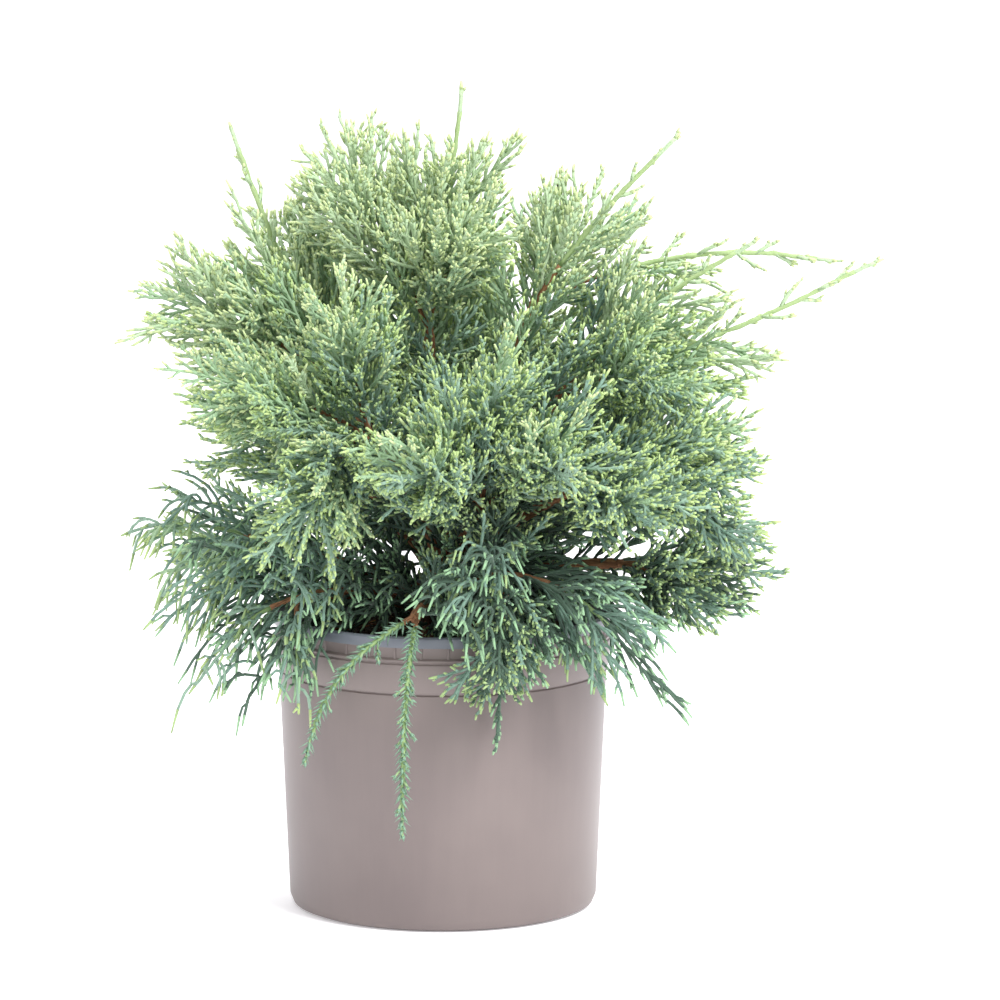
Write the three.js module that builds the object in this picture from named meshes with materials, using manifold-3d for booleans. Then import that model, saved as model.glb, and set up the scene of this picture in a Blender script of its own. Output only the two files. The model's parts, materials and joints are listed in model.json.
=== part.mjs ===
// Blue pfitzer juniper in a round nursery pot.
// Millimetres, +Z up. The origin is the centre of the pot's flat underside.
// +X is the plant's right as it is seen from the front, and -Y is its front.

import * as THREE from 'three';
import { mergeVertices } from 'three/addons/utils/BufferGeometryUtils.js';
import Module from 'manifold-3d';

const wasm = await Module();
wasm.setup();

// Driving dimensions of the pot

const POT_HEIGHT = 105;
const RIM_RADIUS = 60;
const RIM_INNER_RADIUS = 57.6;
const RIM_BAND = 3.8;
const RECESS_FOOT = 8.3;
const RECESS_RADIUS = 57.9;
const COLLAR_FOOT = 20.4;
const COLLAR_RADIUS = 58.9;
const COLLAR_STEP = 0.5;
const WALL_SLOPE = 0.0445;
const WALL_TOP_RADIUS = 58.3;
const WALL_THICKNESS = 1.2;
const HEEL = 4;
const HEEL_ROUND = 0.29;
const EDGE = 0.6;
const FLOOR_THICKNESS = 1.8;
const POT_SEGMENTS = 42;
const DRAIN_HOLES = 6;
const DRAIN_SIDES = 8;
const DRAIN_RADIUS = 4.5;
const DRAIN_CIRCLE = 38;

// Driving dimensions of the soil and of every limb

const SOIL_TOP = 93;
const SOIL_EDGE_DROP = 1.5;
const CLEARANCE = 0.3;
const WELD_DISTANCE = 0.0001;
const LIMB_STEPS = 5;

// The trunk leans a little as it rises from its flare at the soil to its fork.

const TRUNK = { x: -3, y: 3, azimuth: 60, elevation: 80, length: 34, foot: 5.6, middle: 3.9, fork: 3.3 };
const TRUNK_SIDES = 12;
const FLARE_LOBES = 4;
const FLARE_DEPTH = 0.16;
const FLARE_SHARE = 0.25;

// A bough leaves the trunk at a share of its height and bends by turn and lift over its length.
// Each plume at its tip has its own azimuth, elevation, length, bend and kind.

const BOUGHS = {
  right_low: {
    share: 0.5, azimuth: 338, elevation: 21, length: 68, turn: 5, lift: -19,
    plumes: {
      outer: { azimuth: 359, elevation: 1, length: 65, bend: -9, kind: 'feather' },
      front: { azimuth: 308, elevation: 2, length: 59, bend: -28, kind: 'feather' },
    },
  },
  right_mid: {
    share: 0.75, azimuth: 328, elevation: 35, length: 56, turn: -4, lift: -7,
    plumes: {
      outer: { azimuth: 346, elevation: 21, length: 90, bend: -51, kind: 'feather' },
      leader: { azimuth: 360, elevation: 29, length: 83, bend: -12, kind: 'feather' },
      front: { azimuth: 297, elevation: 19, length: 79, bend: -30, kind: 'feather' },
    },
  },
  right_top: {
    share: 0.95, azimuth: 351, elevation: 63, length: 67, turn: 4, lift: -18,
    plumes: {
      leader: { azimuth: 2, elevation: 14, length: 126, bend: 14, kind: 'whip' },
      outer: { azimuth: 346, elevation: 50, length: 96, bend: -21, kind: 'whip' },
      front: { azimuth: 316, elevation: 27, length: 74, bend: -30, kind: 'feather' },
    },
  },
  crown_right: {
    share: 1, azimuth: 10, elevation: 66, length: 81, turn: 0, lift: 8,
    plumes: {
      leader: { azimuth: 2, elevation: 31, length: 123, bend: -41, kind: 'whip' },
      up: { azimuth: 348, elevation: 58, length: 92, bend: -14, kind: 'whip' },
      back: { azimuth: 65, elevation: 45, length: 75, bend: -12, kind: 'feather' },
    },
  },
  front: {
    share: 0.62, azimuth: 294, elevation: 43, length: 48, turn: -5, lift: -8,
    plumes: {
      right: { azimuth: 310, elevation: 42, length: 82, bend: -28, kind: 'feather' },
      left: { azimuth: 244, elevation: 40, length: 82, bend: -34, kind: 'feather' },
      up: { azimuth: 283, elevation: 72, length: 78, bend: -14, kind: 'feather' },
    },
  },
  front_low: {
    share: 0.36, azimuth: 293, elevation: 30, length: 56, turn: 6, lift: -20,
    plumes: {
      right: { azimuth: 340, elevation: 0, length: 72, bend: -46, kind: 'feather' },
      left: { azimuth: 246, elevation: 12, length: 60, bend: -28, kind: 'feather' },
      hang: { azimuth: 262, elevation: -20, length: 68, bend: -66, kind: 'feather' },
    },
  },
  front_left: {
    share: 0.88, azimuth: 221, elevation: 73, length: 57, turn: 7, lift: -38,
    plumes: {
      leader: { azimuth: 209, elevation: 31, length: 79, bend: -14, kind: 'feather' },
      up: { azimuth: 252, elevation: 60, length: 75, bend: 7, kind: 'feather' },
      front: { azimuth: 250, elevation: -2, length: 84, bend: -36, kind: 'feather' },
    },
  },
  crown: {
    share: 1, azimuth: 120, elevation: 84, length: 76, turn: 0, lift: 0,
    plumes: {
      leader: { azimuth: 29, elevation: 79, length: 89, bend: 2, kind: 'whip' },
      left: { azimuth: 193, elevation: 56, length: 82, bend: 7, kind: 'feather' },
      front: { azimuth: 296, elevation: 54, length: 75, bend: -12, kind: 'feather' },
    },
  },
  left_high: {
    share: 0.92, azimuth: 180, elevation: 62, length: 64, turn: -4, lift: -3,
    plumes: {
      leader: { azimuth: 158, elevation: 60, length: 107, bend: 9, kind: 'whip' },
      outer: { azimuth: 188, elevation: 40, length: 85, bend: -16, kind: 'feather' },
      back: { azimuth: 112, elevation: 52, length: 81, bend: -9, kind: 'feather' },
    },
  },
  left_low: {
    share: 0.42, azimuth: 188, elevation: 29, length: 49, turn: 5, lift: -19,
    plumes: {
      outer: { azimuth: 177, elevation: 25, length: 69, bend: -18, kind: 'feather' },
      front: { azimuth: 225, elevation: 17, length: 66, bend: -30, kind: 'feather' },
      back: { azimuth: 131, elevation: 9, length: 71, bend: -23, kind: 'feather' },
    },
  },
  left_droop: {
    share: 0.26, azimuth: 220, elevation: 27, length: 61, turn: 0, lift: -30,
    plumes: {
      outer: { azimuth: 206, elevation: -6, length: 52, bend: -40, kind: 'arching' },
      inner: { azimuth: 272, elevation: -6, length: 58, bend: -60, kind: 'arching' },
    },
  },
  back_left: {
    share: 0.66, azimuth: 129, elevation: 37, length: 46, turn: 4, lift: -8,
    plumes: {
      outer: { azimuth: 159, elevation: 29, length: 76, bend: -18, kind: 'feather' },
      up: { azimuth: 119, elevation: 55, length: 86, bend: -7, kind: 'feather' },
      low: { azimuth: 97, elevation: 8, length: 70, bend: -34, kind: 'feather' },
    },
  },
  back: {
    share: 0.82, azimuth: 79, elevation: 60, length: 52, turn: 0, lift: -14,
    plumes: {
      leader: { azimuth: 94, elevation: 36, length: 95, bend: -14, kind: 'whip' },
      up: { azimuth: 117, elevation: 66, length: 95, bend: 9, kind: 'feather' },
      right: { azimuth: 52, elevation: 24, length: 82, bend: -18, kind: 'feather' },
    },
  },
  back_right: {
    share: 0.55, azimuth: 39, elevation: 32, length: 50, turn: -4, lift: -11,
    plumes: {
      outer: { azimuth: 16, elevation: 21, length: 84, bend: -14, kind: 'feather' },
      rear: { azimuth: 77, elevation: 12, length: 74, bend: -23, kind: 'feather' },
      up: { azimuth: 32, elevation: 62, length: 90, bend: -16, kind: 'feather' },
    },
  },
  hang: {
    share: 0.15, azimuth: 264, elevation: 28, length: 66, turn: 0, lift: -32,
    plumes: {
      left: { azimuth: 209, elevation: -12, length: 70, bend: -60, kind: 'needles' },
      front: { azimuth: 264, elevation: -16, length: 88, bend: -76, kind: 'needles' },
    },
  },
};
const BOUGH_SIDES = 6;
const BOUGH_FOOT_RADIUS = 2.5;
const BOUGH_TIP_RADIUS = 1.9;
const BOUGH_START = 0.6;
const LIMB_CUT = 0.35;

// How each kind of plume branches: pitch is the distance between its side twigs, first the share of
// the stem below them, reach the length of the lowest as a share of the plume's, short that of the
// highest as a share of the lowest, open the angle at which they stand from the stem, tip the length
// of the last one, and blade the width of a spray as a share of its length. Sprays stand up to the
// leafy share of the stem, and shorter single shoots above it.

const KINDS = {
  feather: { pitch: 8.8, first: 0.14, reach: 0.62, short: 0.62, open: 48, tip: 30, blade: 0.44, leafy: 1 },
  arching: { pitch: 8.5, first: 0.2, reach: 0.5, short: 0.5, open: 30, tip: 24, blade: 0.3, leafy: 1 },
  whip: { pitch: 8, first: 0.1, reach: 0.36, short: 0.3, open: 40, tip: 14, blade: 0.44, leafy: 0.55 },
  needles: { pitch: 4, first: 0.3, reach: 0.2, short: 0.8, open: 50, tip: 10, blade: 0, leafy: 0 },
};
const SHOOT_SHARE = 0.6;
const STEM_SIDES = 4;
const STEM_FOOT_RADIUS = 0.85;
const STEM_TIP_RADIUS = 0.62;
const STEM_SPREAD = 1.15;
const STEM_EASE = 0.35;
const GOLDEN_ANGLE = 137.5;
const ROLL_PLAY = 30;
const TWIST_PLAY = 70;
const LENGTH_PLAY = 0.25;
const TWIG_SIDES = 3;
const TWIG_RADIUS = 0.42;
const TWIG_SUNK = 0.15;
const TIP_SUNK = 2;
const SHORTER = [1, 0.85, 0.7, 0.55];
const BLADE_THICKNESS = 0.8;
const MIDDLE_SAMPLES = [0.25, 0.45, 0.65, 0.85];
const SHORTEST = 6;
const SMOOTHING = 0.1;

// Teeth of a spray: shares of its length, and of half its width to the left of its middle line

const TEETH = [
  [0.46, 1],
  [0.55, 0.45],
  [1, 0],
  [0.76, -0.38],
  [0.66, -0.94],
];

// A repeatable random rule: each number is the last one times a factor, within a prime range

const SEED_STEP = 7919;
const SEED_START = 101;
const RANDOM_FACTOR = 48271;
const RANDOM_RANGE = 2147483647;

// Space kept by every mass

const NEIGHBOUR_ROOM = 1.2;
const LIMB_ROOM = 4.4;
const POT_ROOM = 1.2;

const COLOURS = {
  pot: { color: 0x9c9088, roughness: 0.42, metalness: 0 },
  soil: { color: 0x2b2724, roughness: 1, metalness: 0 },
  bark: { color: 0x75543f, roughness: 0.9, metalness: 0 },
  foliage: { color: 0x7c9272, roughness: 0.7, metalness: 0 },
  tips: { color: 0xa9bd8c, roughness: 0.7, metalness: 0 },
};

// Headings, paths and a seeded rule

function heading(azimuth, elevation) {
  const a = THREE.MathUtils.degToRad(azimuth);
  const e = THREE.MathUtils.degToRad(elevation);
  return {
    along: new THREE.Vector3(Math.cos(a) * Math.cos(e), Math.sin(a) * Math.cos(e), Math.sin(e)),
    side: new THREE.Vector3(Math.sin(a), -Math.cos(a), 0),
    up: new THREE.Vector3(-Math.cos(a) * Math.sin(e), -Math.sin(a) * Math.sin(e), Math.cos(e)),
  };
}

function walk(start, { azimuth, elevation, length, turn = 0, lift = 0 }) {
  const path = [{ point: start.clone(), ...heading(azimuth, elevation) }];
  for (let k = 0; k < LIMB_STEPS; k++) {
    const half = (k + 0.5) / LIMB_STEPS;
    const step = heading(azimuth + turn * half, elevation + lift * half).along;
    const end = (k + 1) / LIMB_STEPS;
    path.push({
      point: path[k].point.clone().addScaledVector(step, length / LIMB_STEPS),
      ...heading(azimuth + turn * end, elevation + lift * end),
    });
  }
  return path;
}

function along(path, share) {
  const at = share * (path.length - 1);
  const k = Math.min(Math.floor(at), path.length - 2);
  return {
    ...path[Math.round(at)],
    point: path[k].point.clone().lerp(path[k + 1].point, at - k),
  };
}

function distanceToPath(point, path) {
  const nearest = new THREE.Vector3();
  let least = Infinity;
  for (let k = 0; k + 1 < path.length; k++) {
    new THREE.Line3(path[k].point, path[k + 1].point).closestPointToPoint(point, true, nearest);
    least = Math.min(least, nearest.distanceTo(point));
  }
  return least;
}

function seeded(seed) {
  let state = seed * SEED_STEP + SEED_START;
  return () => {
    state = (state * RANDOM_FACTOR) % RANDOM_RANGE;
    return state / RANDOM_RANGE;
  };
}

// Geometry helpers

function bentCylinder(path, sides, radiusAt) {
  const steps = path.length - 1;
  const geometry = new THREE.CylinderGeometry(1, 1, steps, sides, steps);
  const place = geometry.attributes.position;
  for (let i = 0; i < place.count; i++) {
    const step = Math.round(place.getY(i) + steps / 2);
    const across = new THREE.Vector2(place.getX(i), place.getZ(i));
    const radius = radiusAt(step / steps, across.angle());
    const { point, side, up } = path[step];
    const moved = point.clone();
    moved.addScaledVector(side, across.x * radius);
    moved.addScaledVector(up, across.y * radius);
    place.setXYZ(i, moved.x, moved.y, moved.z);
  }
  return geometry;
}

function solid(geometry) {
  const plain = geometry.clone();
  plain.deleteAttribute('normal');
  plain.deleteAttribute('uv');
  const merged = mergeVertices(plain, WELD_DISTANCE);
  return new wasm.Manifold(new wasm.Mesh({
    numProp: 3,
    vertProperties: new Float32Array(merged.attributes.position.array),
    triVerts: new Uint32Array(merged.index.array),
  }));
}

// The largest closed body, without loose scraps or sealed hollows.
function wholeBody(shape) {
  const bodies = shape.decompose();
  return bodies.reduce((best, body) => (body.volume() > best.volume() ? body : best));
}

function geometryOf(shape) {
  const mesh = shape.getMesh();
  const geometry = new THREE.BufferGeometry();
  geometry.setAttribute('position', new THREE.BufferAttribute(new Float32Array(mesh.vertProperties), 3));
  geometry.setIndex(new THREE.BufferAttribute(new Uint32Array(mesh.triVerts), 1));
  geometry.computeVertexNormals();
  return geometry;
}

const juniper = new THREE.Group();

function add(name, geometry, colour) {
  const mesh = new THREE.Mesh(geometry, new THREE.MeshStandardMaterial(COLOURS[colour]));
  mesh.name = name;
  juniper.add(mesh);
}

function lathe(points) {
  const profile = points.map(([radius, height]) => new THREE.Vector2(radius, height));
  const geometry = new THREE.LatheGeometry(profile, POT_SEGMENTS);
  geometry.rotateX(Math.PI / 2);
  return geometry;
}

// Pot: a thin shell with a rim band, a recess under it, a collar and a rounded heel

function wallRadius(height) {
  return WALL_TOP_RADIUS - (POT_HEIGHT - height) * WALL_SLOPE;
}

function innerRadius(height) {
  return wallRadius(height) - WALL_THICKNESS;
}

const rimFoot = POT_HEIGHT - RIM_BAND;
const recessFoot = POT_HEIGHT - RECESS_FOOT;
const collarFoot = POT_HEIGHT - COLLAR_FOOT;
const heelRadius = wallRadius(HEEL);

const potWall = lathe([
  [0, 0],
  [heelRadius - HEEL, 0],
  [heelRadius - HEEL * HEEL_ROUND, HEEL * HEEL_ROUND],
  [heelRadius, HEEL],
  [wallRadius(collarFoot), collarFoot],
  [wallRadius(collarFoot) + COLLAR_STEP, collarFoot + EDGE],
  [COLLAR_RADIUS, recessFoot],
  [RECESS_RADIUS, recessFoot + EDGE],
  [RECESS_RADIUS, rimFoot],
  [RIM_RADIUS, rimFoot],
  [RIM_RADIUS, POT_HEIGHT - EDGE],
  [RIM_RADIUS - EDGE, POT_HEIGHT],
  [RIM_INNER_RADIUS + EDGE, POT_HEIGHT],
  [RIM_INNER_RADIUS, POT_HEIGHT - EDGE],
  [innerRadius(recessFoot) - EDGE, recessFoot],
  [innerRadius(HEEL), HEEL],
  [innerRadius(HEEL) - HEEL + FLOOR_THICKNESS, FLOOR_THICKNESS],
  [0, FLOOR_THICKNESS],
]);

function drainHole(index) {
  const angle = (2 * Math.PI * index) / DRAIN_HOLES;
  const hole = new THREE.CylinderGeometry(DRAIN_RADIUS, DRAIN_RADIUS, 4 * FLOOR_THICKNESS, DRAIN_SIDES);
  hole.rotateX(Math.PI / 2);
  hole.translate(DRAIN_CIRCLE * Math.cos(angle), DRAIN_CIRCLE * Math.sin(angle), FLOOR_THICKNESS / 2);
  return solid(hole);
}

let pot = solid(potWall);
for (let index = 0; index < DRAIN_HOLES; index++) {
  pot = pot.subtract(drainHole(index));
}
add('pot', geometryOf(wholeBody(pot)), 'pot');

// Soil: a plug of peat that fills the pot to its flat top

const soilFoot = FLOOR_THICKNESS + CLEARANCE;
const soilEdge = SOIL_TOP - SOIL_EDGE_DROP;
const soilWall = (height) => innerRadius(height) - 2 * CLEARANCE - EDGE * (height / recessFoot);
add('soil', lathe([
  [0, soilFoot],
  [soilWall(HEEL) - HEEL + FLOOR_THICKNESS, soilFoot],
  [soilWall(HEEL + EDGE), HEEL + EDGE],
  [soilWall(soilEdge), soilEdge],
  [soilWall(SOIL_TOP) - 2 * SOIL_EDGE_DROP, SOIL_TOP],
  [0, SOIL_TOP],
]), 'soil');

// Trunk: from its lobed flare on the soil to the fork

const trunkPath = walk(new THREE.Vector3(TRUNK.x, TRUNK.y, SOIL_TOP + CLEARANCE), TRUNK);
Object.assign(trunkPath[0], heading(TRUNK.azimuth, 90));

function trunkRadius(share, angle) {
  const flare = Math.max(0, 1 - share / FLARE_SHARE);
  const lobes = 1 + FLARE_DEPTH * flare * Math.cos(FLARE_LOBES * angle);
  const straight = THREE.MathUtils.lerp(TRUNK.middle, TRUNK.fork, share);
  return (straight + (TRUNK.foot - TRUNK.middle) * flare) * lobes;
}

const trunk = solid(bentCylinder(trunkPath, TRUNK_SIDES, trunkRadius));
add('stem', geometryOf(trunk), 'bark');

// Boughs: one tapering limb each, cut clear of the trunk and of the boughs made before

function boughRadius(share) {
  return THREE.MathUtils.lerp(BOUGH_FOOT_RADIUS, BOUGH_TIP_RADIUS, share);
}

function boughPath(bough) {
  const start = along(trunkPath, bough.share).point;
  const outward = heading(bough.azimuth, 0).along;
  return walk(start.addScaledVector(outward, TRUNK.fork * BOUGH_START), bough);
}

const boughPaths = {};
for (const [name, bough] of Object.entries(BOUGHS)) {
  boughPaths[name] = boughPath(bough);
}

// The space that a limb takes from the next ones: the limb with its clearance all round and past its ends
function roomOf(path, sides, radiusAt) {
  const longer = path.map((place) => ({ ...place, point: place.point.clone() }));
  longer[0].point.addScaledVector(path[0].along, -LIMB_CUT);
  longer[LIMB_STEPS].point.addScaledVector(path[LIMB_STEPS].along, LIMB_CUT);
  return solid(bentCylinder(longer, sides, (share, angle) => radiusAt(share, angle) + LIMB_CUT));
}

let taken = roomOf(trunkPath, TRUNK_SIDES, trunkRadius);
for (const [name, path] of Object.entries(boughPaths)) {
  const limb = solid(bentCylinder(path, BOUGH_SIDES, boughRadius));
  add(`bough_${name}`, geometryOf(wholeBody(limb.subtract(taken))), 'bark');
  taken = taken.add(roomOf(path, BOUGH_SIDES, boughRadius));
}

// Plume stems: they start side by side on the flat tip of their bough and curve away from it

// The angle round the bough's tip at which a plume leaves it, from its side direction towards its up one
function leavingAngle(tip, plume) {
  const aim = heading(plume.azimuth, plume.elevation).along;
  return Math.atan2(aim.dot(tip.up), aim.dot(tip.side));
}

// Roots spaced evenly round the tip, in the order of the leaving angles and turned to suit them best
function rootAngles(tip, list) {
  const angles = list.map((plume) => leavingAngle(tip, plume));
  const order = angles.map((angle, index) => index).sort((a, b) => angles[a] - angles[b]);
  const step = (2 * Math.PI) / list.length;
  const rank = angles.map((angle, index) => order.indexOf(index));
  const sine = angles.reduce((sum, angle, index) => sum + Math.sin(angle - rank[index] * step), 0);
  const cosine = angles.reduce((sum, angle, index) => sum + Math.cos(angle - rank[index] * step), 0);
  return rank.map((place) => Math.atan2(sine, cosine) + place * step);
}

function stemPath(tip, plume, rootAngle) {
  const start = tip.point.clone().addScaledVector(tip.along, CLEARANCE);
  start.addScaledVector(tip.side, STEM_SPREAD * Math.cos(rootAngle));
  start.addScaledVector(tip.up, STEM_SPREAD * Math.sin(rootAngle));
  const path = walk(start, { ...plume, length: plume.length - KINDS[plume.kind].tip, lift: plume.bend });
  const aim = path[0].along;
  Object.assign(path[0], { along: tip.along, side: tip.side, up: tip.up });
  const ease = path[1].point.distanceTo(start) * STEM_EASE;
  for (const place of path.slice(1)) {
    place.point.addScaledVector(tip.along, ease).addScaledVector(aim, -ease);
  }
  return path;
}

const plumes = [];
for (const [boughName, bough] of Object.entries(BOUGHS)) {
  const tip = boughPaths[boughName][LIMB_STEPS];
  const angles = rootAngles(tip, Object.values(bough.plumes));
  Object.entries(bough.plumes).forEach(([plumeName, plume], index) => {
    plumes.push({ name: `${boughName}_${plumeName}`, ...plume, path: stemPath(tip, plume, angles[index]) });
  });
}

// A point is free when it is nearer to its own stem than to any other, and off the limbs and the pot

function inPot(point) {
  const radius = Math.hypot(point.x, point.y);
  if (point.z > POT_HEIGHT + POT_ROOM || radius > RIM_RADIUS + POT_ROOM) return false;
  return point.z < SOIL_TOP + POT_ROOM || radius > RIM_INNER_RADIUS - POT_ROOM;
}

function isFree(point, own) {
  if (inPot(point)) return false;
  const distance = distanceToPath(point, own.path) + NEIGHBOUR_ROOM;
  if (plumes.some((plume) => plume !== own && distanceToPath(point, plume.path) < distance)) return false;
  const limbs = [trunkPath, ...Object.values(boughPaths)];
  return limbs.every((path) => distanceToPath(point, path) > LIMB_ROOM);
}

// A spray of needles: a toothed blade on its stalk that lies along X, flat in X and Y

function bladeOutline(length, width) {
  return [[-TWIG_SUNK, 0], ...TEETH.map(([far, wide]) => [length * far, (width / 2) * wide])];
}

function bladeGeometry(length, width) {
  const outline = bladeOutline(length, width).map(([x, y]) => new THREE.Vector2(x, y));
  const shape = new THREE.Shape(outline);
  const geometry = new THREE.ExtrudeGeometry(shape, { depth: BLADE_THICKNESS, bevelEnabled: false });
  geometry.translate(0, 0, -BLADE_THICKNESS / 2);
  return geometry;
}

// A single needle or short shoot is a three-sided cone that lies along X

function spikeGeometry(length) {
  const cone = new THREE.ConeGeometry(TWIG_RADIUS, length + TWIG_SUNK, TWIG_SIDES);
  cone.rotateZ(-Math.PI / 2);
  cone.translate((length - TWIG_SUNK) / 2, 0, 0);
  return cone;
}

// Points that stand for a blade or a spike: the outline and the middle line
function samples(place, length, width) {
  const local = bladeOutline(length, width).slice(1).map(([x, y]) => new THREE.Vector3(x, y, 0));
  local.push(...MIDDLE_SAMPLES.map((share) => new THREE.Vector3(length * share, 0, 0)));
  return local.map((point) => point.applyMatrix4(place));
}

// Where a side twig stands: X along it, and Y across it, square to the stem but for a twist
function twigPlace(at, roll, open, twist) {
  const turn = THREE.MathUtils.degToRad(roll);
  const tilt = THREE.MathUtils.degToRad(open);
  const outward = at.side.clone().multiplyScalar(Math.cos(turn)).addScaledVector(at.up, Math.sin(turn));
  const forward = at.along.clone().multiplyScalar(Math.cos(tilt)).addScaledVector(outward, Math.sin(tilt));
  const across = at.along.clone().cross(outward).applyAxisAngle(forward, THREE.MathUtils.degToRad(twist));
  const place = new THREE.Matrix4().makeBasis(forward, across, forward.clone().cross(across));
  return place.setPosition(at.point);
}

// One mass: a stem with side twigs in a spiral, the longest first, and one more that carries on its tip
function growPlume(plume, seed) {
  const kind = KINDS[plume.kind];
  const random = seeded(seed);
  const stemRadius = (share) => THREE.MathUtils.lerp(STEM_FOOT_RADIUS, STEM_TIP_RADIUS, share);
  let mass = solid(bentCylinder(plume.path, STEM_SIDES, stemRadius));
  const count = Math.round((plume.length * (1 - kind.first)) / kind.pitch);
  let roll = 360 * random();
  for (let k = 0; k <= count; k++) {
    const last = k === count;
    const share = k / count;
    const at = along(plume.path, THREE.MathUtils.lerp(kind.first, 1, share));
    roll += GOLDEN_ANGLE + ROLL_PLAY * (random() - 0.5);
    const lowest = plume.length * kind.reach * (1 - LENGTH_PLAY * random());
    const twist = TWIST_PLAY * (random() - 0.5);
    const place = twigPlace(at, roll, last ? 0 : kind.open, twist);
    if (last) place.setPosition(at.point.addScaledVector(at.along, -TIP_SUNK));
    const leafy = share <= kind.leafy;
    const full = lowest * THREE.MathUtils.lerp(1, kind.short, share) * (leafy ? 1 : SHOOT_SHARE);
    for (const shorter of SHORTER) {
      const length = shorter * (last ? kind.tip : full);
      const width = leafy ? length * kind.blade : 0;
      if (length < SHORTEST) break;
      if (!samples(place, length, width).every((point) => isFree(point, plume))) continue;
      const spray = width > 0 ? bladeGeometry(length, width) : spikeGeometry(length);
      mass = mass.add(solid(spray.applyMatrix4(place)));
      break;
    }
  }
  return wholeBody(mass.simplify(SMOOTHING));
}

plumes.forEach((plume, index) => {
  const colour = plume.kind === 'whip' ? 'tips' : 'foliage';
  add(`mass_${plume.name}`, geometryOf(growPlume(plume, index + 1)), colour);
});

export default juniper;
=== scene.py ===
# %% [markdown]
# # A potted blue pfitzer juniper
# This lesson dresses the measured model of a young juniper in its nursery pot. The solids of the
# model give the size and the place of every part, in metres, with +Z up and -Y towards the viewer.
# The first step loads them and keeps their box, so that the finished plant can be compared with it.

# %% Load the measured model
import json
import math

import bpy
import numpy as np
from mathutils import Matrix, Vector, noise

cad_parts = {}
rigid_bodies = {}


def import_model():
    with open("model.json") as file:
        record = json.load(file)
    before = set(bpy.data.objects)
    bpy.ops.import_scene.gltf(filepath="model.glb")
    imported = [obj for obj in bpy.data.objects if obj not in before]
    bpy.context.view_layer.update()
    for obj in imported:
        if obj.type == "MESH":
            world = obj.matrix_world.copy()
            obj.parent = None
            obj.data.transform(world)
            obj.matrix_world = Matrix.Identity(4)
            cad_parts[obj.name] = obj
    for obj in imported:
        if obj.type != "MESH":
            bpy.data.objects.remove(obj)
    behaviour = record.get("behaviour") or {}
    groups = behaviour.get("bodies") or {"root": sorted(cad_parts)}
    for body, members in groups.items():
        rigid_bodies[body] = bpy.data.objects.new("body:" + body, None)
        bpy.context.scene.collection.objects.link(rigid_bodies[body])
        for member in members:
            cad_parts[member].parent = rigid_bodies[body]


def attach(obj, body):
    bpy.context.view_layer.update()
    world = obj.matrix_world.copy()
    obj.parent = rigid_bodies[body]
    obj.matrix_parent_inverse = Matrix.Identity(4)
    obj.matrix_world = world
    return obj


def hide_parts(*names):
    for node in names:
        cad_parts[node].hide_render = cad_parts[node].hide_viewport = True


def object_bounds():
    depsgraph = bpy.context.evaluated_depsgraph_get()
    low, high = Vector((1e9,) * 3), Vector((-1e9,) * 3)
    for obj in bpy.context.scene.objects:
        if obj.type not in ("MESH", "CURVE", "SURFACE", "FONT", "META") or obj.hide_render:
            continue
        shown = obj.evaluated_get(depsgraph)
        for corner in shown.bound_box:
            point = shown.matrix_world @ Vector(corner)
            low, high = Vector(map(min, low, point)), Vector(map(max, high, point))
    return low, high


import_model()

CAD_BOX = [list(corner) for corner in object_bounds()]
MM = 0.001
print("measured box in mm:", [[round(value / MM) for value in corner] for corner in CAD_BOX])

# %% [markdown]
# ## Helpers that every later step uses
# Colours are written as the hex values that a colour picker shows, and one function turns them to
# the linear light that Blender calculates with. A material is a small tree of nodes, so one more
# function adds any node with its settings and its links.

# %% Colours and materials


def linear(hex_colour):
    """The linear colour of an sRGB hex value such as #7c9272, by the standard's own curve."""
    values = [int(hex_colour[k:k + 2], 16) / 255 for k in (1, 3, 5)]
    return [v / 12.92 if v <= 0.04045 else ((v + 0.055) / 1.055) ** 2.4 for v in values] + [1.0]


def add_node(material, kind, settings=None, links=None):
    """Adds a node: settings are socket values or properties, links are inputs with their sources."""
    made = material.node_tree.nodes.new("ShaderNode" + kind)
    for name, value in (settings or {}).items():
        if name in made.inputs:
            made.inputs[name].default_value = value
        else:
            setattr(made, name, value)
    for name, (source, output) in (links or {}).items():
        material.node_tree.links.new(source.outputs[output], made.inputs[name])
    return made


def new_material(name, surface):
    """A material with one Principled shader, given as plain socket values."""
    material = bpy.data.materials.new(name)
    material.use_nodes = True
    material.node_tree.nodes.clear()
    shader = add_node(material, "BsdfPrincipled", surface)
    add_node(material, "OutputMaterial", links={"Surface": (shader, "BSDF")})
    return material, shader


def join_nodes(material, source, output, target, name):
    """Links one more pair of sockets."""
    material.node_tree.links.new(source.outputs[output], target.inputs[name])


print("half way up a colour picker is", round(linear("#808080")[0], 2), "of the full light")

# %% [markdown]
# A piece is either modelled with Blender's operators, as by hand, or made at once from arrays where it
# holds thousands of small things. Every piece then gets its materials, the body that carries it and the
# measured nodes that it stands for.

# %% Pieces


def start_piece(name):
    """Names the primitive that was just added, and opens it in edit mode with all of it selected."""
    piece = bpy.context.object
    piece.name = name
    bpy.ops.object.mode_set(mode="EDIT")
    bpy.ops.mesh.select_all(action="SELECT")
    return piece


def apply_modifier(piece, kind, **settings):
    """Adds a modifier with its settings and applies it."""
    modifier = piece.modifiers.new(kind.title(), kind)
    for key, value in settings.items():
        setattr(modifier, key, value)
    bpy.context.view_layer.objects.active = piece
    bpy.ops.object.modifier_apply(modifier=modifier.name)


def triangles(piece):
    """How many triangles the piece has."""
    return sum(len(face.vertices) - 2 for face in piece.data.polygons)


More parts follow.
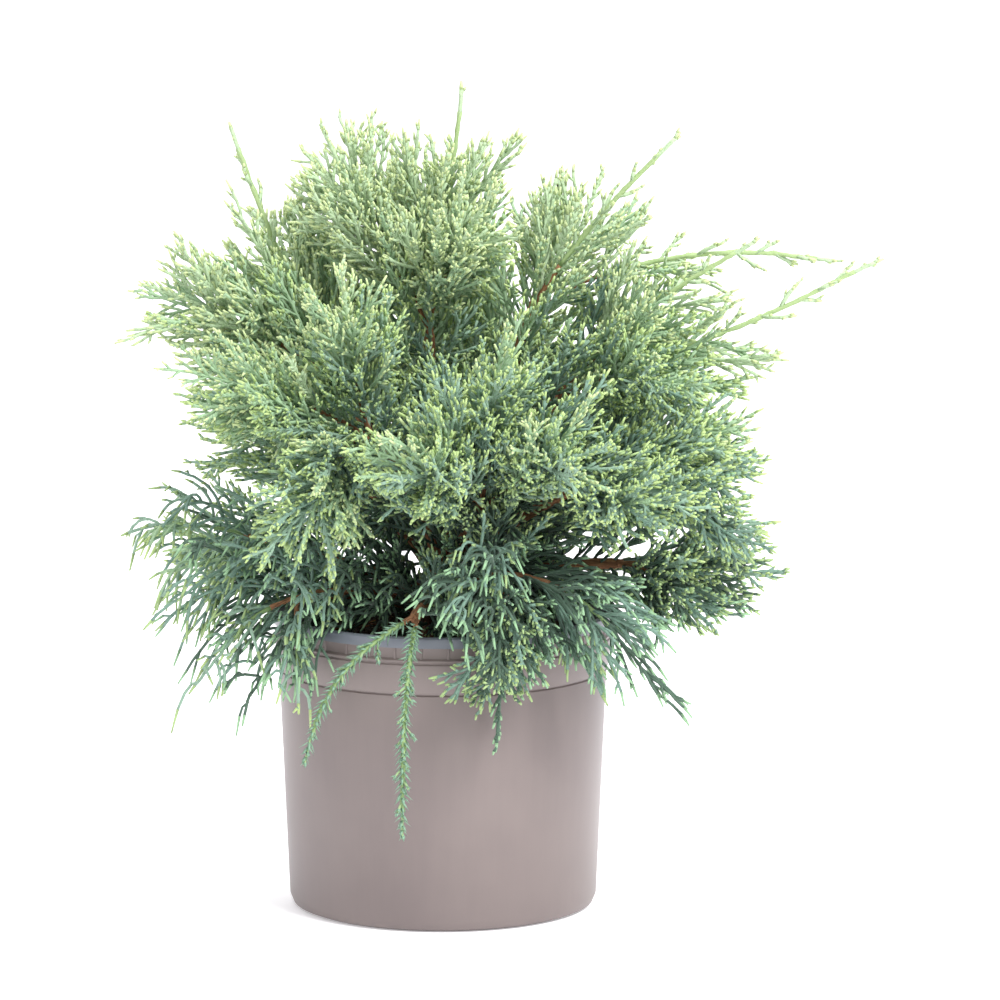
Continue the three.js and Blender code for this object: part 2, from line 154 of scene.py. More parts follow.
def finish_piece(piece, materials, nodes=()):
    """Gives a piece its materials, its body and the nodes that it stands for."""
    piece.data.materials.clear()
    for material in materials:
        piece.data.materials.append(material)
    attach(piece, "root")
    if nodes:
        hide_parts(*nodes)
    print(f"{piece.name}: {triangles(piece)} triangles")


def mesh_piece(name, points, faces, smooth=True):
    """A piece from an array of points in millimetres and an array of three-cornered faces."""
    mesh = bpy.data.meshes.new(name)
    mesh.vertices.add(len(points))
    mesh.vertices.foreach_set("co", (points * MM).astype(np.float32).ravel())
    mesh.loops.add(faces.size)
    mesh.loops.foreach_set("vertex_index", faces.astype(np.int32).ravel())
    mesh.polygons.add(len(faces))
    mesh.polygons.foreach_set("loop_start", np.arange(0, faces.size, 3, dtype=np.int32))
    mesh.polygons.foreach_set("use_smooth", np.full(len(faces), smooth))
    mesh.update(calc_edges=True)
    piece = bpy.data.objects.new(name, mesh)
    bpy.context.collection.objects.link(piece)
    return piece


bpy.ops.object.select_all(action="DESELECT")
print("helpers ready")

# %% [markdown]
# ## Camera, floor and light
# The photograph looks at the plant from the front and a little above, through a long lens. The same
# direction and distance are kept, with a longer lens so that the plant fills the frame. A plain pale
# floor and broad soft lights give the calm light of a studio.

# %% Camera
CAMERA_ELEVATION = 9.5
CAMERA_DISTANCE = 2.833
CAMERA_AIM = Vector((20, 0, 143)) * MM
LENS = 292
FARTHEST_SEEN = 100

bpy.ops.object.camera_add()
camera = bpy.context.object
camera_tilt = math.radians(CAMERA_ELEVATION)
back = Vector((0, -math.cos(camera_tilt), math.sin(camera_tilt)))
camera.location = CAMERA_AIM + back * CAMERA_DISTANCE
camera.rotation_euler = (-back).to_track_quat("-Z", "Y").to_euler()
camera.data.lens = LENS
camera.data.clip_end = FARTHEST_SEEN
bpy.context.scene.camera = camera
bpy.context.scene.view_settings.view_transform = "Standard"
print("camera at", [round(value, 2) for value in camera.location], "with a lens of", LENS, "mm")

# %% Floor
FLOOR_SIZE = 60
FLOOR_COLOUR = "#f4f3f5"

bpy.ops.mesh.primitive_plane_add(size=FLOOR_SIZE)
floor = bpy.context.object
floor.name = "floor"
floor_material, _ = new_material("matt white floor paint", {
    "Base Color": linear(FLOOR_COLOUR), "Roughness": 0.9, "Specular IOR Level": 0.1,
    "Emission Color": linear(FLOOR_COLOUR), "Emission Strength": 0.33})
floor.data.materials.append(floor_material)
print("floor:", FLOOR_SIZE, "m wide")

# %% Lights
ROOM_COLOUR = "#fdfcff"
SKY = 0.79
LAMPS = {
    "key": {"at": (1.3, -1.3, 1.9), "size": 1.1, "watts": 76},
    "fill": {"at": (-1.6, -1.2, 1.1), "size": 1.8, "watts": 7},
    "top": {"at": (-0.2, 0.8, 2.2), "size": 1.2, "watts": 38},
}

world = bpy.data.worlds.new("soft white room")
bpy.context.scene.world = world
world.use_nodes = True
world.node_tree.nodes["Background"].inputs["Color"].default_value = linear(ROOM_COLOUR)
world.node_tree.nodes["Background"].inputs["Strength"].default_value = SKY
for name, lamp in LAMPS.items():
    bpy.ops.object.light_add(type="AREA", location=lamp["at"])
    light = bpy.context.object
    light.name = name
    light.data.size = lamp["size"]
    light.data.energy = lamp["watts"]
    light.rotation_euler = (light.location - CAMERA_AIM).to_track_quat("Z", "Y").to_euler()
print("lamps:", list(LAMPS))

# %% [markdown]
# ## The pot
# The pot is a thin shell formed from a sheet of plastic. A rolled lip sits on a narrow recess, a
# collar with a fine groove at its top and at its foot follows, and then the smooth wall runs down to
# a rounded heel. Such a round shell is easiest to draw as the outline of its wall, one point after
# another, and to spin round the upright axis. The outline starts in the middle of the underside, goes
# up the outside, over the lip and down the inside to the middle of the floor.

# %% Sizes of the pot in millimetres
POT_HEIGHT = 105
RIM_RADIUS = 60
RIM_INNER_RADIUS = 57.6
RIM_BAND = 3.8
RECESS_FOOT = 8.3
RECESS_RADIUS = 57.9
COLLAR_FOOT = 20.4
COLLAR_RADIUS = 58.9
COLLAR_STEP = 0.5
WALL_SLOPE = 0.0445
WALL_TOP_RADIUS = 58.3
WALL_THICKNESS = 1.2
HEEL = 4
HEEL_ROUND = 0.29
EDGE = 0.6
FLOOR_THICKNESS = 1.8
SOIL_TOP = 93
CLEARANCE = 0.3
GROOVE_DEPTH = 0.55
GROOVE_HEIGHT = 0.75
GROOVE_BELOW = 1.0


def wall_radius(height):
    """Radius of the outside of the wall."""
    return WALL_TOP_RADIUS - (POT_HEIGHT - height) * WALL_SLOPE


def inner_radius(height):
    """Radius of the inside of the wall."""
    return wall_radius(height) - WALL_THICKNESS


print(f"pot: {POT_HEIGHT} mm high, {2 * RIM_RADIUS} mm over the rim, {2 * wall_radius(0):.0f} mm at the foot")

# %% Outline of the wall, as points of (radius, height)
RIM_FOOT = POT_HEIGHT - RIM_BAND
LEDGE = POT_HEIGHT - RECESS_FOOT
COLLAR_END = POT_HEIGHT - COLLAR_FOOT
POT_WALL = [
    (0, 0),
    (wall_radius(HEEL) - HEEL, 0),
    (wall_radius(HEEL) - HEEL * HEEL_ROUND, HEEL * HEEL_ROUND),
    (wall_radius(HEEL), HEEL),
    (wall_radius(COLLAR_END), COLLAR_END - GROOVE_HEIGHT),
    (wall_radius(COLLAR_END) - GROOVE_DEPTH, COLLAR_END - GROOVE_HEIGHT / 2),
    (wall_radius(COLLAR_END) - GROOVE_DEPTH, COLLAR_END),
    (wall_radius(COLLAR_END) + COLLAR_STEP, COLLAR_END + EDGE / 2),
    (COLLAR_RADIUS, LEDGE - GROOVE_BELOW - GROOVE_HEIGHT),
    (COLLAR_RADIUS - GROOVE_DEPTH, LEDGE - GROOVE_BELOW - GROOVE_HEIGHT / 2),
    (COLLAR_RADIUS - GROOVE_DEPTH, LEDGE - GROOVE_BELOW),
    (COLLAR_RADIUS, LEDGE - GROOVE_BELOW + EDGE / 2),
    (COLLAR_RADIUS, LEDGE),
    (RECESS_RADIUS, LEDGE + EDGE),
    (RECESS_RADIUS, RIM_FOOT),
    (RIM_RADIUS, RIM_FOOT),
    (RIM_RADIUS, POT_HEIGHT - EDGE),
    (RIM_RADIUS - EDGE, POT_HEIGHT),
    (RIM_INNER_RADIUS + EDGE, POT_HEIGHT),
    (RIM_INNER_RADIUS, POT_HEIGHT - EDGE),
    (inner_radius(LEDGE) - EDGE, LEDGE),
    (inner_radius(HEEL), HEEL),
    (inner_radius(HEEL) - HEEL + FLOOR_THICKNESS, FLOOR_THICKNESS),
    (0, FLOOR_THICKNESS),
]
print("points of the outline:", len(POT_WALL))

# %% Draw the wall's outline and spin it
SPIN_STEPS = 160
WELD = 0.00001


def spin_outline(name, outline, steps):
    """Draws an outline of (radius, height) points and spins it into a closed shell."""
    bpy.ops.mesh.primitive_plane_add(size=MM, location=(outline[0][0] * MM, 0, outline[0][1] * MM))
    piece = start_piece(name)
    bpy.ops.mesh.merge(type="CENTER")
    for (radius, height), (next_radius, next_height) in zip(outline, outline[1:]):
        step = ((next_radius - radius) * MM, 0, (next_height - height) * MM)
        bpy.ops.mesh.extrude_region_move(TRANSFORM_OT_translate={"value": step})
    bpy.ops.mesh.select_all(action="SELECT")
    bpy.ops.mesh.spin(steps=steps, angle=2 * math.pi, center=(0, 0, 0), axis=(0, 0, 1))
    bpy.ops.mesh.select_all(action="SELECT")
    bpy.ops.mesh.remove_doubles(threshold=WELD)
    bpy.ops.mesh.normals_make_consistent(inside=False)
    bpy.ops.object.mode_set(mode="OBJECT")
    bpy.ops.object.transform_apply(location=True, rotation=True, scale=True)
    return piece


pot = spin_outline("pot_shell", POT_WALL, SPIN_STEPS)
print("faces of the spun shell:", len(pot.data.polygons))

# %% [markdown]
# Water leaves the pot through holes in its floor. They are cut with a Boolean modifier by a ring of
# short rods, and the modifier is applied. A Bevel then rounds every crease a little, as plastic that
# was drawn over a mould has no sharp edge.

# %% Drain holes and rounded creases
DRAIN_HOLES = 6
DRAIN_RADIUS = 4.5
DRAIN_CIRCLE = 38
DRAIN_SIDES = 24
DRILL_LENGTH = 6 * FLOOR_THICKNESS
CREASE_WIDTH = 0.2
CREASE_FROM = 20
SMOOTH_UP_TO = 35

rods = []
for index in range(DRAIN_HOLES):
    angle = 2 * math.pi * index / DRAIN_HOLES
    place = (DRAIN_CIRCLE * math.cos(angle) * MM, DRAIN_CIRCLE * math.sin(angle) * MM, 0)
    bpy.ops.mesh.primitive_cylinder_add(
        vertices=DRAIN_SIDES, radius=DRAIN_RADIUS * MM, depth=DRILL_LENGTH * MM, location=place)
    rods.append(bpy.context.object)
for rod in rods:
    rod.select_set(True)
bpy.ops.object.join()
drill = bpy.context.object
apply_modifier(pot, "BOOLEAN", object=drill, operation="DIFFERENCE", solver="EXACT")
bpy.data.objects.remove(drill)
apply_modifier(pot, "BEVEL", width=CREASE_WIDTH * MM, segments=2, limit_method="ANGLE",
               angle_limit=math.radians(CREASE_FROM), harden_normals=False)
bpy.ops.object.select_all(action="DESELECT")
pot.select_set(True)
bpy.ops.object.shade_smooth_by_angle(angle=math.radians(SMOOTH_UP_TO))
print("pot with", DRAIN_HOLES, "holes:", len(pot.data.polygons), "faces")

# %% [markdown]
# In the recess under the lip stand small upright ribs, about 10 mm apart. They keep a stack of empty
# pots from jamming. One rib is a bevelled box that is copied round the ring, each copy with its own
# mesh, and the copies are joined to the shell.

# %% Ribs of the recess
RIB_COUNT = 39
RIB_SIZE = (1.0, 0.9, 4.3)
RIB_ROUND = 0.3
RIB_PROUD = 0.1
RIB_CIRCLE = RECESS_RADIUS + RIB_PROUD - RIB_SIZE[0] / 4

bpy.ops.mesh.primitive_cube_add(size=1, location=(0, 0, 0))
first_rib = start_piece("rib")
bpy.ops.transform.resize(value=[side * MM for side in RIB_SIZE])
bpy.ops.mesh.bevel(offset=RIB_ROUND * MM, segments=2, affect="EDGES")
bpy.ops.object.mode_set(mode="OBJECT")
ribs = [first_rib]
for _ in range(RIB_COUNT - 1):
    copy = first_rib.copy()
    copy.data = first_rib.data.copy()
    bpy.context.collection.objects.link(copy)
    ribs.append(copy)
for index, rib in enumerate(ribs):
    angle = 2 * math.pi * (index + 0.5) / RIB_COUNT
    middle = RIB_CIRCLE * MM
    rib.rotation_euler = (0, 0, angle)
    rib.location = (middle * math.cos(angle), middle * math.sin(angle), (LEDGE + RIM_FOOT) / 2 * MM)
bpy.ops.object.select_all(action="DESELECT")
for rib in ribs:
    rib.select_set(True)
pot.select_set(True)
bpy.context.view_layer.objects.active = pot
bpy.ops.object.join()
bpy.ops.object.transform_apply(location=True, rotation=True, scale=True)
print("ribs:", len(ribs))

# %% [markdown]
# The sheet is polypropylene, formed in two layers: taupe outside and a darker bluish grey inside. The
# lip is rolled over, so it shows the inner layer. Polypropylene has an IOR near 1.49 and a satin
# surface here. Faint streaks about 4 mm wide run down the wall where the warm sheet was drawn, broad
# clouds of tone about 45 mm wide lie under them, and a grain finer than a millimetre breaks the gloss.

# %% Polypropylene of the pot
TAUPE = "#736866"
TAUPE_WORN = "#7b706d"
INNER_LAYER = "#62676f"
INNER_WORN = "#6b7079"
STREAKS_PER_METRE = 260
STREAK_STRETCH = 0.12
CLOUDS_PER_METRE = 22
GRAIN_PER_METRE = 1600


def thermoformed(name, colour, worn, roughness, grain_depth, streaky):
    """Satin polypropylene: broad stains of tone, streaks down the wall, and a fine grain."""
    material, shader = new_material(name, {"IOR": 1.49, "Metallic": 0.0})
    place = add_node(material, "TexCoord")
    stretched = add_node(material, "Mapping", {"Scale": (1, 1, STREAK_STRETCH)},
                         {"Vector": (place, "Object")})
    streaks = add_node(material, "TexNoise", {"Scale": STREAKS_PER_METRE, "Detail": 4, "Roughness": 0.6},
                       {"Vector": (stretched, "Vector")})
    clouds = add_node(material, "TexNoise", {"Scale": CLOUDS_PER_METRE, "Detail": 3},
                      {"Vector": (place, "Object")})
    blend = add_node(material, "Mix", {"data_type": "FLOAT"})
    blend.inputs[0].default_value = streaky
    join_nodes(material, clouds, "Fac", blend, "A")
    join_nodes(material, streaks, "Fac", blend, "B")
    tone = add_node(material, "ValToRGB", links={"Fac": (blend, "Result")})
    for stop, (position, shade) in zip(tone.color_ramp.elements, ((0.38, colour), (0.66, worn))):
        stop.position = position
        stop.color = linear(shade)
    gloss = add_node(material, "MapRange", {"To Min": roughness - 0.06, "To Max": roughness + 0.08},
                     {"Value": (blend, "Result")})
    grain = add_node(material, "TexNoise", {"Scale": GRAIN_PER_METRE, "Detail": 2},
                     {"Vector": (place, "Object")})
    relief = add_node(material, "Bump", {"Strength": 0.25, "Distance": grain_depth * MM},
                      {"Height": (grain, "Fac")})
    join_nodes(material, tone, "Color", shader, "Base Color")
    join_nodes(material, gloss, "Result", shader, "Roughness")
    join_nodes(material, relief, "Normal", shader, "Normal")
    return material


outer_plastic = thermoformed("taupe polypropylene, thermoformed", TAUPE, TAUPE_WORN, 0.38, 0.05, 0.18)
inner_plastic = thermoformed("grey polypropylene, inner layer", INNER_LAYER, INNER_WORN, 0.3, 0.02, 0.0)
finish_piece(pot, [outer_plastic, inner_plastic], ["pot"])

# %% Give the inside and the lip the dark layer
LIP_FOOT = RIM_FOOT + 0.4
FLOOR_TOP = FLOOR_THICKNESS - 0.3

for face in pot.data.polygons:
    middle = face.center / MM
    radius = math.hypot(middle.x, middle.y)
    inside = radius < inner_radius(middle.z) + WALL_THICKNESS / 2 and middle.z > FLOOR_TOP
    face.material_index = 1 if inside or middle.z > LIP_FOOT else 0
print("dark faces:", sum(face.material_index for face in pot.data.polygons))

# %% [markdown]
# ## The soil
# Moist peat fills the pot to a little under the lip. Its surface is a fine grid, cut round and pushed
# up and down by a cloud texture. Loose crumbs and fibres of bark lie on it: such small things, by the
# thousand, are joined into one mesh from arrays of points, because separate objects would be slow.

# %% Peat surface
SOIL_CELLS = 150
SOIL_SIZE = 118
SOIL_DEPTH = 86
SOIL_TAPER = 0.93
FLAT_WITHIN = 1

bpy.ops.mesh.primitive_grid_add(x_subdivisions=SOIL_CELLS, y_subdivisions=SOIL_CELLS,
                                size=SOIL_SIZE * MM, location=(0, 0, SOIL_TOP * MM))
soil = bpy.context.object
soil.name = "peat"
bpy.ops.object.transform_apply(location=True, rotation=True, scale=True)
edge_radius = inner_radius(SOIL_TOP) - CLEARANCE
bpy.ops.object.mode_set(mode="EDIT")
bpy.ops.mesh.select_mode(type="FACE")
bpy.ops.mesh.select_all(action="DESELECT")
bpy.ops.object.mode_set(mode="OBJECT")
for face in soil.data.polygons:
    face.select = math.hypot(face.center.x, face.center.y) > edge_radius * MM
bpy.ops.object.mode_set(mode="EDIT")
bpy.ops.mesh.delete(type="FACE")
bpy.ops.mesh.select_all(action="SELECT")
bpy.ops.mesh.extrude_region_move(TRANSFORM_OT_translate={"value": (0, 0, -SOIL_DEPTH * MM)})
bpy.ops.transform.resize(value=(SOIL_TAPER, SOIL_TAPER, 1))
bpy.ops.mesh.dissolve_limited(angle_limit=math.radians(FLAT_WITHIN))
bpy.ops.mesh.select_all(action="SELECT")
bpy.ops.mesh.normals_make_consistent(inside=False)
bpy.ops.object.mode_set(mode="OBJECT")
print("peat plug:", round(2 * edge_radius, 1), "mm wide at its top")

# %% Push the peat up and down
SOIL_RELIEF = 3.2
CLOD_SIZE = 4.5
SURFACE_BAND = 1

clods = bpy.data.textures.new("clods", "CLOUDS")
clods.noise_scale = CLOD_SIZE * MM
clods.noise_depth = 3
top_group = soil.vertex_groups.new(name="surface")
top_group.add([v.index for v in soil.data.vertices if v.co.z > (SOIL_TOP - SURFACE_BAND) * MM], 1, "REPLACE")
apply_modifier(soil, "DISPLACE", texture=clods, strength=SOIL_RELIEF * MM, mid_level=0.5,
               direction="Z", vertex_group="surface")
for face in soil.data.polygons:
    face.use_smooth = True
print("peat faces:", len(soil.data.polygons))

# %% Crumbs and fibres on the peat
CRUMBS = {"count": 1500, "stretch": 1.0, "largest": 1.5, "raised": 0.2}
FIBRES = {"count": 260, "stretch": np.array([3.2, 0.45, 0.35]), "largest": 1.7, "raised": 0.3}
CRUMB_SIZES = (0.25, 1)
# Sizes are drawn evenly and raised to this power, which makes more small crumbs than large ones.
SIZE_POWER = 1.6
CRUMB_SIDES = (0.6, 1)
CRUMB_LUMPS = (0.8, 1.2)
SOIL_SEED = 11

random_soil = np.random.default_rng(SOIL_SEED)


def turned(rng, count):
    """Random rotations, as an array of matrices."""
    turns = rng.normal(size=(count, 3, 3))
    for k in range(count):
        turns[k], _ = np.linalg.qr(turns[k])
        if np.linalg.det(turns[k]) < 0:
            turns[k][:, 0] *= -1
    return turns


bpy.ops.mesh.primitive_ico_sphere_add(subdivisions=1, radius=1)
crumb = bpy.context.object
crumb_points = np.array([v.co for v in crumb.data.vertices])
crumb_faces = np.array([list(face.vertices) for face in crumb.data.polygons])
bpy.data.objects.remove(crumb)


def scatter(rng, points, faces, count, stretch, largest, raised):
    """Copies of a small shape, each stretched, turned and laid on the peat at random."""
    sizes = largest * rng.uniform(*CRUMB_SIZES, count) ** SIZE_POWER
    scale = sizes[:, None, None] * stretch * rng.uniform(*CRUMB_SIDES, (count, 1, 3))
    lumpy = points[None] * scale * rng.uniform(*CRUMB_LUMPS, (count, len(points), 1))
    radius = (edge_radius - largest) * np.sqrt(rng.uniform(0, 1, count))
    angle = rng.uniform(0, 2 * math.pi, count)
    height = SOIL_TOP + sizes * raised
    centre = np.stack([radius * np.cos(angle), radius * np.sin(angle), height], axis=1)
    placed = np.einsum("nij,nvj->nvi", turned(rng, count), lumpy) + centre[:, None]
    order = faces[None] + (np.arange(count) * len(points))[:, None, None]
    return placed.reshape(-1, 3), order.reshape(-1, 3)


crumbs = mesh_piece("peat_crumbs", *scatter(random_soil, crumb_points, crumb_faces, **CRUMBS), smooth=False)
fibres = mesh_piece("bark_fibres", *scatter(random_soil, crumb_points, crumb_faces, **FIBRES), smooth=False)
print("crumbs:", CRUMBS["count"], "fibres:", FIBRES["count"])

# %% [markdown]
# Peat is brown moss that has half rotted. Moist, it is nearly black and quite matt, with lighter dry
# crumbs and reddish bits of bark. A noise of 1 to 2 mm mixes the tones, and its finer detail gives
# the relief.

# %% Peat and bark mulch


def crumbly(name, dark, light, lump_mm, roughness):
    """A matt, broken surface that mixes two tones by lumps of a given size."""
    material, shader = new_material(name, {"Roughness": roughness, "IOR": 1.45, "Specular IOR Level": 0.25})
    place = add_node(material, "TexCoord")
    lumps = add_node(material, "TexNoise", {"Scale": 1 / (lump_mm * MM), "Detail": 6, "Roughness": 0.7},
                     {"Vector": (place, "Object")})
    tone = add_node(material, "ValToRGB", links={"Fac": (lumps, "Fac")})
    for stop, (position, shade) in zip(tone.color_ramp.elements, ((0.35, dark), (0.75, light))):
        stop.position = position
        stop.color = linear(shade)
    relief = add_node(material, "Bump", {"Strength": 0.8, "Distance": 0.5 * MM}, {"Height": (lumps, "Fac")})
    join_nodes(material, tone, "Color", shader, "Base Color")
    join_nodes(material, relief, "Normal", shader, "Normal")
    return material


peat = crumbly("moist peat", "#15110f", "#41352c", 2.0, 0.95)
dry_peat = crumbly("dry peat crumbs", "#231b16", "#5b4637", 1.2, 0.95)
mulch = crumbly("bark fibres, shredded", "#5a3320", "#a9714a", 0.9, 0.85)
finish_piece(soil, [peat], ["soil"])
finish_piece(crumbs, [dry_peat])
finish_piece(fibres, [mulch])

# %% [markdown]
# ## The rule by which the plant grows
# The trunk, the boughs and the stem of every plume were worked out for the solids by one rule: a limb
# walks in equal steps whose heading turns a little each time. The same rule, with the same values, is
# written again here, so that bark, twigs and leaves grow on from the limbs exactly where they are.

# %% Values of the limbs
LIMB_STEPS = 5
TRUNK = {"x": -3, "y": 3, "azimuth": 60, "elevation": 80, "length": 34,
         "foot": 5.6, "middle": 3.9, "fork": 3.3}
FLARE_LOBES = 4
FLARE_DEPTH = 0.16
FLARE_SHARE = 0.25
FLARE_CURVE = 1.5
BOUGH_FOOT_RADIUS = 2.5
BOUGH_TIP_RADIUS = 1.9
BOUGH_START = 0.6
print(f"trunk: {TRUNK['length']} mm long and {2 * TRUNK['middle']:.0f} mm thick")

# %% Directions of the boughs and plumes
# Share of the trunk, azimuth, elevation, length, turn and lift of each bough, and then its plumes with
# their azimuth, elevation, length, bend and kind.
BOUGHS = {
    "right_low": ((0.5, 338, 21, 68, 5, -19), {
        "outer": (359, 1, 65, -9, "feather"),
        "front": (308, 2, 59, -28, "feather"),
    }),
    "right_mid": ((0.75, 328, 35, 56, -4, -7), {
        "outer": (346, 21, 90, -51, "feather"),
        "leader": (360, 29, 83, -12, "feather"),
        "front": (297, 19, 79, -30, "feather"),
    }),
    "right_top": ((0.95, 351, 63, 67, 4, -18), {
        "leader": (2, 14, 126, 14, "whip"),
        "outer": (346, 50, 96, -21, "whip"),
        "front": (316, 27, 74, -30, "feather"),
    }),
    "crown_right": ((1, 10, 66, 81, 0, 8), {
        "leader": (2, 31, 123, -41, "whip"),
        "up": (348, 58, 92, -14, "whip"),
        "back": (65, 45, 75, -12, "feather"),
    }),
    "front": ((0.62, 294, 43, 48, -5, -8), {
        "right": (310, 42, 82, -28, "feather"),
        "left": (244, 40, 82, -34, "feather"),
        "up": (283, 72, 78, -14, "feather"),
    }),
    "front_low": ((0.36, 293, 30, 56, 6, -20), {
        "right": (340, 0, 72, -46, "feather"),
        "left": (246, 12, 60, -28, "feather"),
        "hang": (262, -20, 68, -66, "feather"),
    }),
    "front_left": ((0.88, 221, 73, 57, 7, -38), {
        "leader": (209, 31, 79, -14, "feather"),
        "up": (252, 60, 75, 7, "feather"),
        "front": (250, -2, 84, -36, "feather"),
    }),
    "crown": ((1, 120, 84, 76, 0, 0), {
        "leader": (29, 79, 89, 2, "whip"),
        "left": (193, 56, 82, 7, "feather"),
        "front": (296, 54, 75, -12, "feather"),
    }),
    "left_high": ((0.92, 180, 62, 64, -4, -3), {
        "leader": (158, 60, 107, 9, "whip"),
        "outer": (188, 40, 85, -16, "feather"),
        "back": (112, 52, 81, -9, "feather"),
    }),
    "left_low": ((0.42, 188, 29, 49, 5, -19), {
        "outer": (177, 25, 69, -18, "feather"),
        "front": (225, 17, 66, -30, "feather"),
        "back": (131, 9, 71, -23, "feather"),
    }),
    "left_droop": ((0.26, 220, 27, 61, 0, -30), {
        "outer": (206, -6, 52, -40, "arching"),
        "inner": (272, -6, 58, -60, "arching"),
    }),
    "back_left": ((0.66, 129, 37, 46, 4, -8), {
        "outer": (159, 29, 76, -18, "feather"),
        "up": (119, 55, 86, -7, "feather"),
        "low": (97, 8, 70, -34, "feather"),
    }),
    "back": ((0.82, 79, 60, 52, 0, -14), {
        "leader": (94, 36, 95, -14, "whip"),
        "up": (117, 66, 95, 9, "feather"),
        "right": (52, 24, 82, -18, "feather"),
    }),
    "back_right": ((0.55, 39, 32, 50, -4, -11), {
        "outer": (16, 21, 84, -14, "feather"),
        "rear": (77, 12, 74, -23, "feather"),
        "up": (32, 62, 90, -16, "feather"),
    }),
    "hang": ((0.15, 264, 28, 66, 0, -32), {
        "left": (209, -12, 70, -60, "needles"),
        "front": (264, -16, 88, -76, "needles"),
    }),
}
print("boughs:", len(BOUGHS), "plumes:", sum(len(plumes) for _, plumes in BOUGHS.values()))

# %% Values of the plumes
# Of each kind: millimetres between side twigs, where the first one stands, their length against the
# plume's, how much shorter the last are, their angle, the length of the end twig, the width of a spray
# against its length, and the share of the stem that bears sprays. Past it stand bare shoots.
KIND_VALUES = ("pitch", "first", "reach", "short", "open", "tip", "blade", "leafy")
KIND_ROWS = {
    "feather": (8.8, 0.14, 0.62, 0.62, 48, 30, 0.44, 1),
    "arching": (8.5, 0.2, 0.5, 0.5, 30, 24, 0.3, 1),
    "whip": (8, 0.1, 0.36, 0.3, 40, 14, 0.44, 0.55),
    "needles": (4, 0.3, 0.2, 0.8, 50, 10, 0, 0),
}
KINDS = {kind: dict(zip(KIND_VALUES, values)) for kind, values in KIND_ROWS.items()}
# A few plumes of the solids get cords in another style: some feathers arch over or trail like the
# drooping ones, and the long whips that stand out against the sky are leaders.
STYLED_PLUMES = {
    "arching": ("left_low_front", "front_low_left", "left_low_outer"),
    "trailing": ("front_low_right",),
    "leader": ("right_top_leader", "crown_right_leader", "crown_right_up", "left_high_leader"),
}
STYLE_OF = {f"mass_{plume}": style for style, plumes in STYLED_PLUMES.items() for plume in plumes}
print("kinds:", list(KINDS), "plumes with another style:", len(STYLE_OF))

# %% Values of the stems and side twigs
STEM_FOOT_RADIUS = 0.85
STEM_TIP_RADIUS = 0.62
STEM_SPREAD = 1.15
STEM_EASE = 0.35
SHOOT_SHARE = 0.6
GOLDEN_ANGLE = 137.5
ROLL_PLAY = 30
TWIST_PLAY = 70
LENGTH_PLAY = 0.25
TIP_SUNK = 2
SHORTER = (1, 0.85, 0.7, 0.55)
# Points of a spray as shares of its length, and on its teeth also of half its width.
MIDDLE_SAMPLES = (0.25, 0.45, 0.65, 0.85)
TEETH = ((0.46, 1), (0.55, 0.45), (1, 0), (0.76, -0.38), (0.66, -0.94))
SHORTEST = 6
SEED_STEP = 7919
SEED_START = 101
RANDOM_FACTOR = 48271
RANDOM_RANGE = 2147483647
NEIGHBOUR_ROOM = 1.2
LIMB_ROOM = 4.4
POT_ROOM = 1.2
print("a side twig is tried at", SHORTER, "of its length, and dropped below", SHORTEST, "mm")

# %% Headings, walks and repeatable random numbers


def heading(azimuth, elevation):
    """The directions along, to the side of and up from a limb, as the rows of an array."""
    a, e = math.radians(azimuth), math.radians(elevation)
    return np.array([
        (math.cos(a) * math.cos(e), math.sin(a) * math.cos(e), math.sin(e)),
        (math.sin(a), -math.cos(a), 0),
        (-math.cos(a) * math.sin(e), -math.sin(a) * math.sin(e), math.cos(e))])


def walk(start, azimuth, elevation, length, turn=0, lift=0):
    """A limb's points and frames, after each of its equal steps."""
    points, frames = [np.array(start, float)], [heading(azimuth, elevation)]
    for k in range(LIMB_STEPS):
        half, end = (k + 0.5) / LIMB_STEPS, (k + 1) / LIMB_STEPS
        step = heading(azimuth + turn * half, elevation + lift * half)[0]
        points.append(points[-1] + step * length / LIMB_STEPS)
        frames.append(heading(azimuth + turn * end, elevation + lift * end))
    return np.array(points), np.array(frames)


def place_along(path, share):
    """The point at a share of a limb's length, with the frame of the nearest step."""
    points, frames = path
    at = share * (len(points) - 1)
    k = min(math.floor(at), len(points) - 2)
    return points[k] + (points[k + 1] - points[k]) * (at - k), frames[math.floor(at + 0.5)]


def seeded(seed):
    """Repeatable random numbers from 0 to 1."""
    state = seed * SEED_STEP + SEED_START

    def draw():
        nonlocal state
        state = state * RANDOM_FACTOR % RANDOM_RANGE
        return state / RANDOM_RANGE
    return draw


print("a heading of 90 degrees is", heading(0, 90)[0].round(2), "and the first draw", round(seeded(1)(), 3))

# %% Walk the trunk and the boughs
trunk_path = walk((TRUNK["x"], TRUNK["y"], SOIL_TOP + CLEARANCE),
                  TRUNK["azimuth"], TRUNK["elevation"], TRUNK["length"])
trunk_path[1][0] = heading(TRUNK["azimuth"], 90)
bough_paths = {}
for name, ((share, azimuth, elevation, length, turn, lift), _) in BOUGHS.items():
    start = place_along(trunk_path, share)[0] + heading(azimuth, 0)[0] * TRUNK["fork"] * BOUGH_START
    bough_paths[name] = walk(start, azimuth, elevation, length, turn, lift)
print("trunk ends at", trunk_path[0][-1].round(1))

# %% Walk the stems of the plumes
# They start side by side on the tip of their bough, in the order in which they leave it.


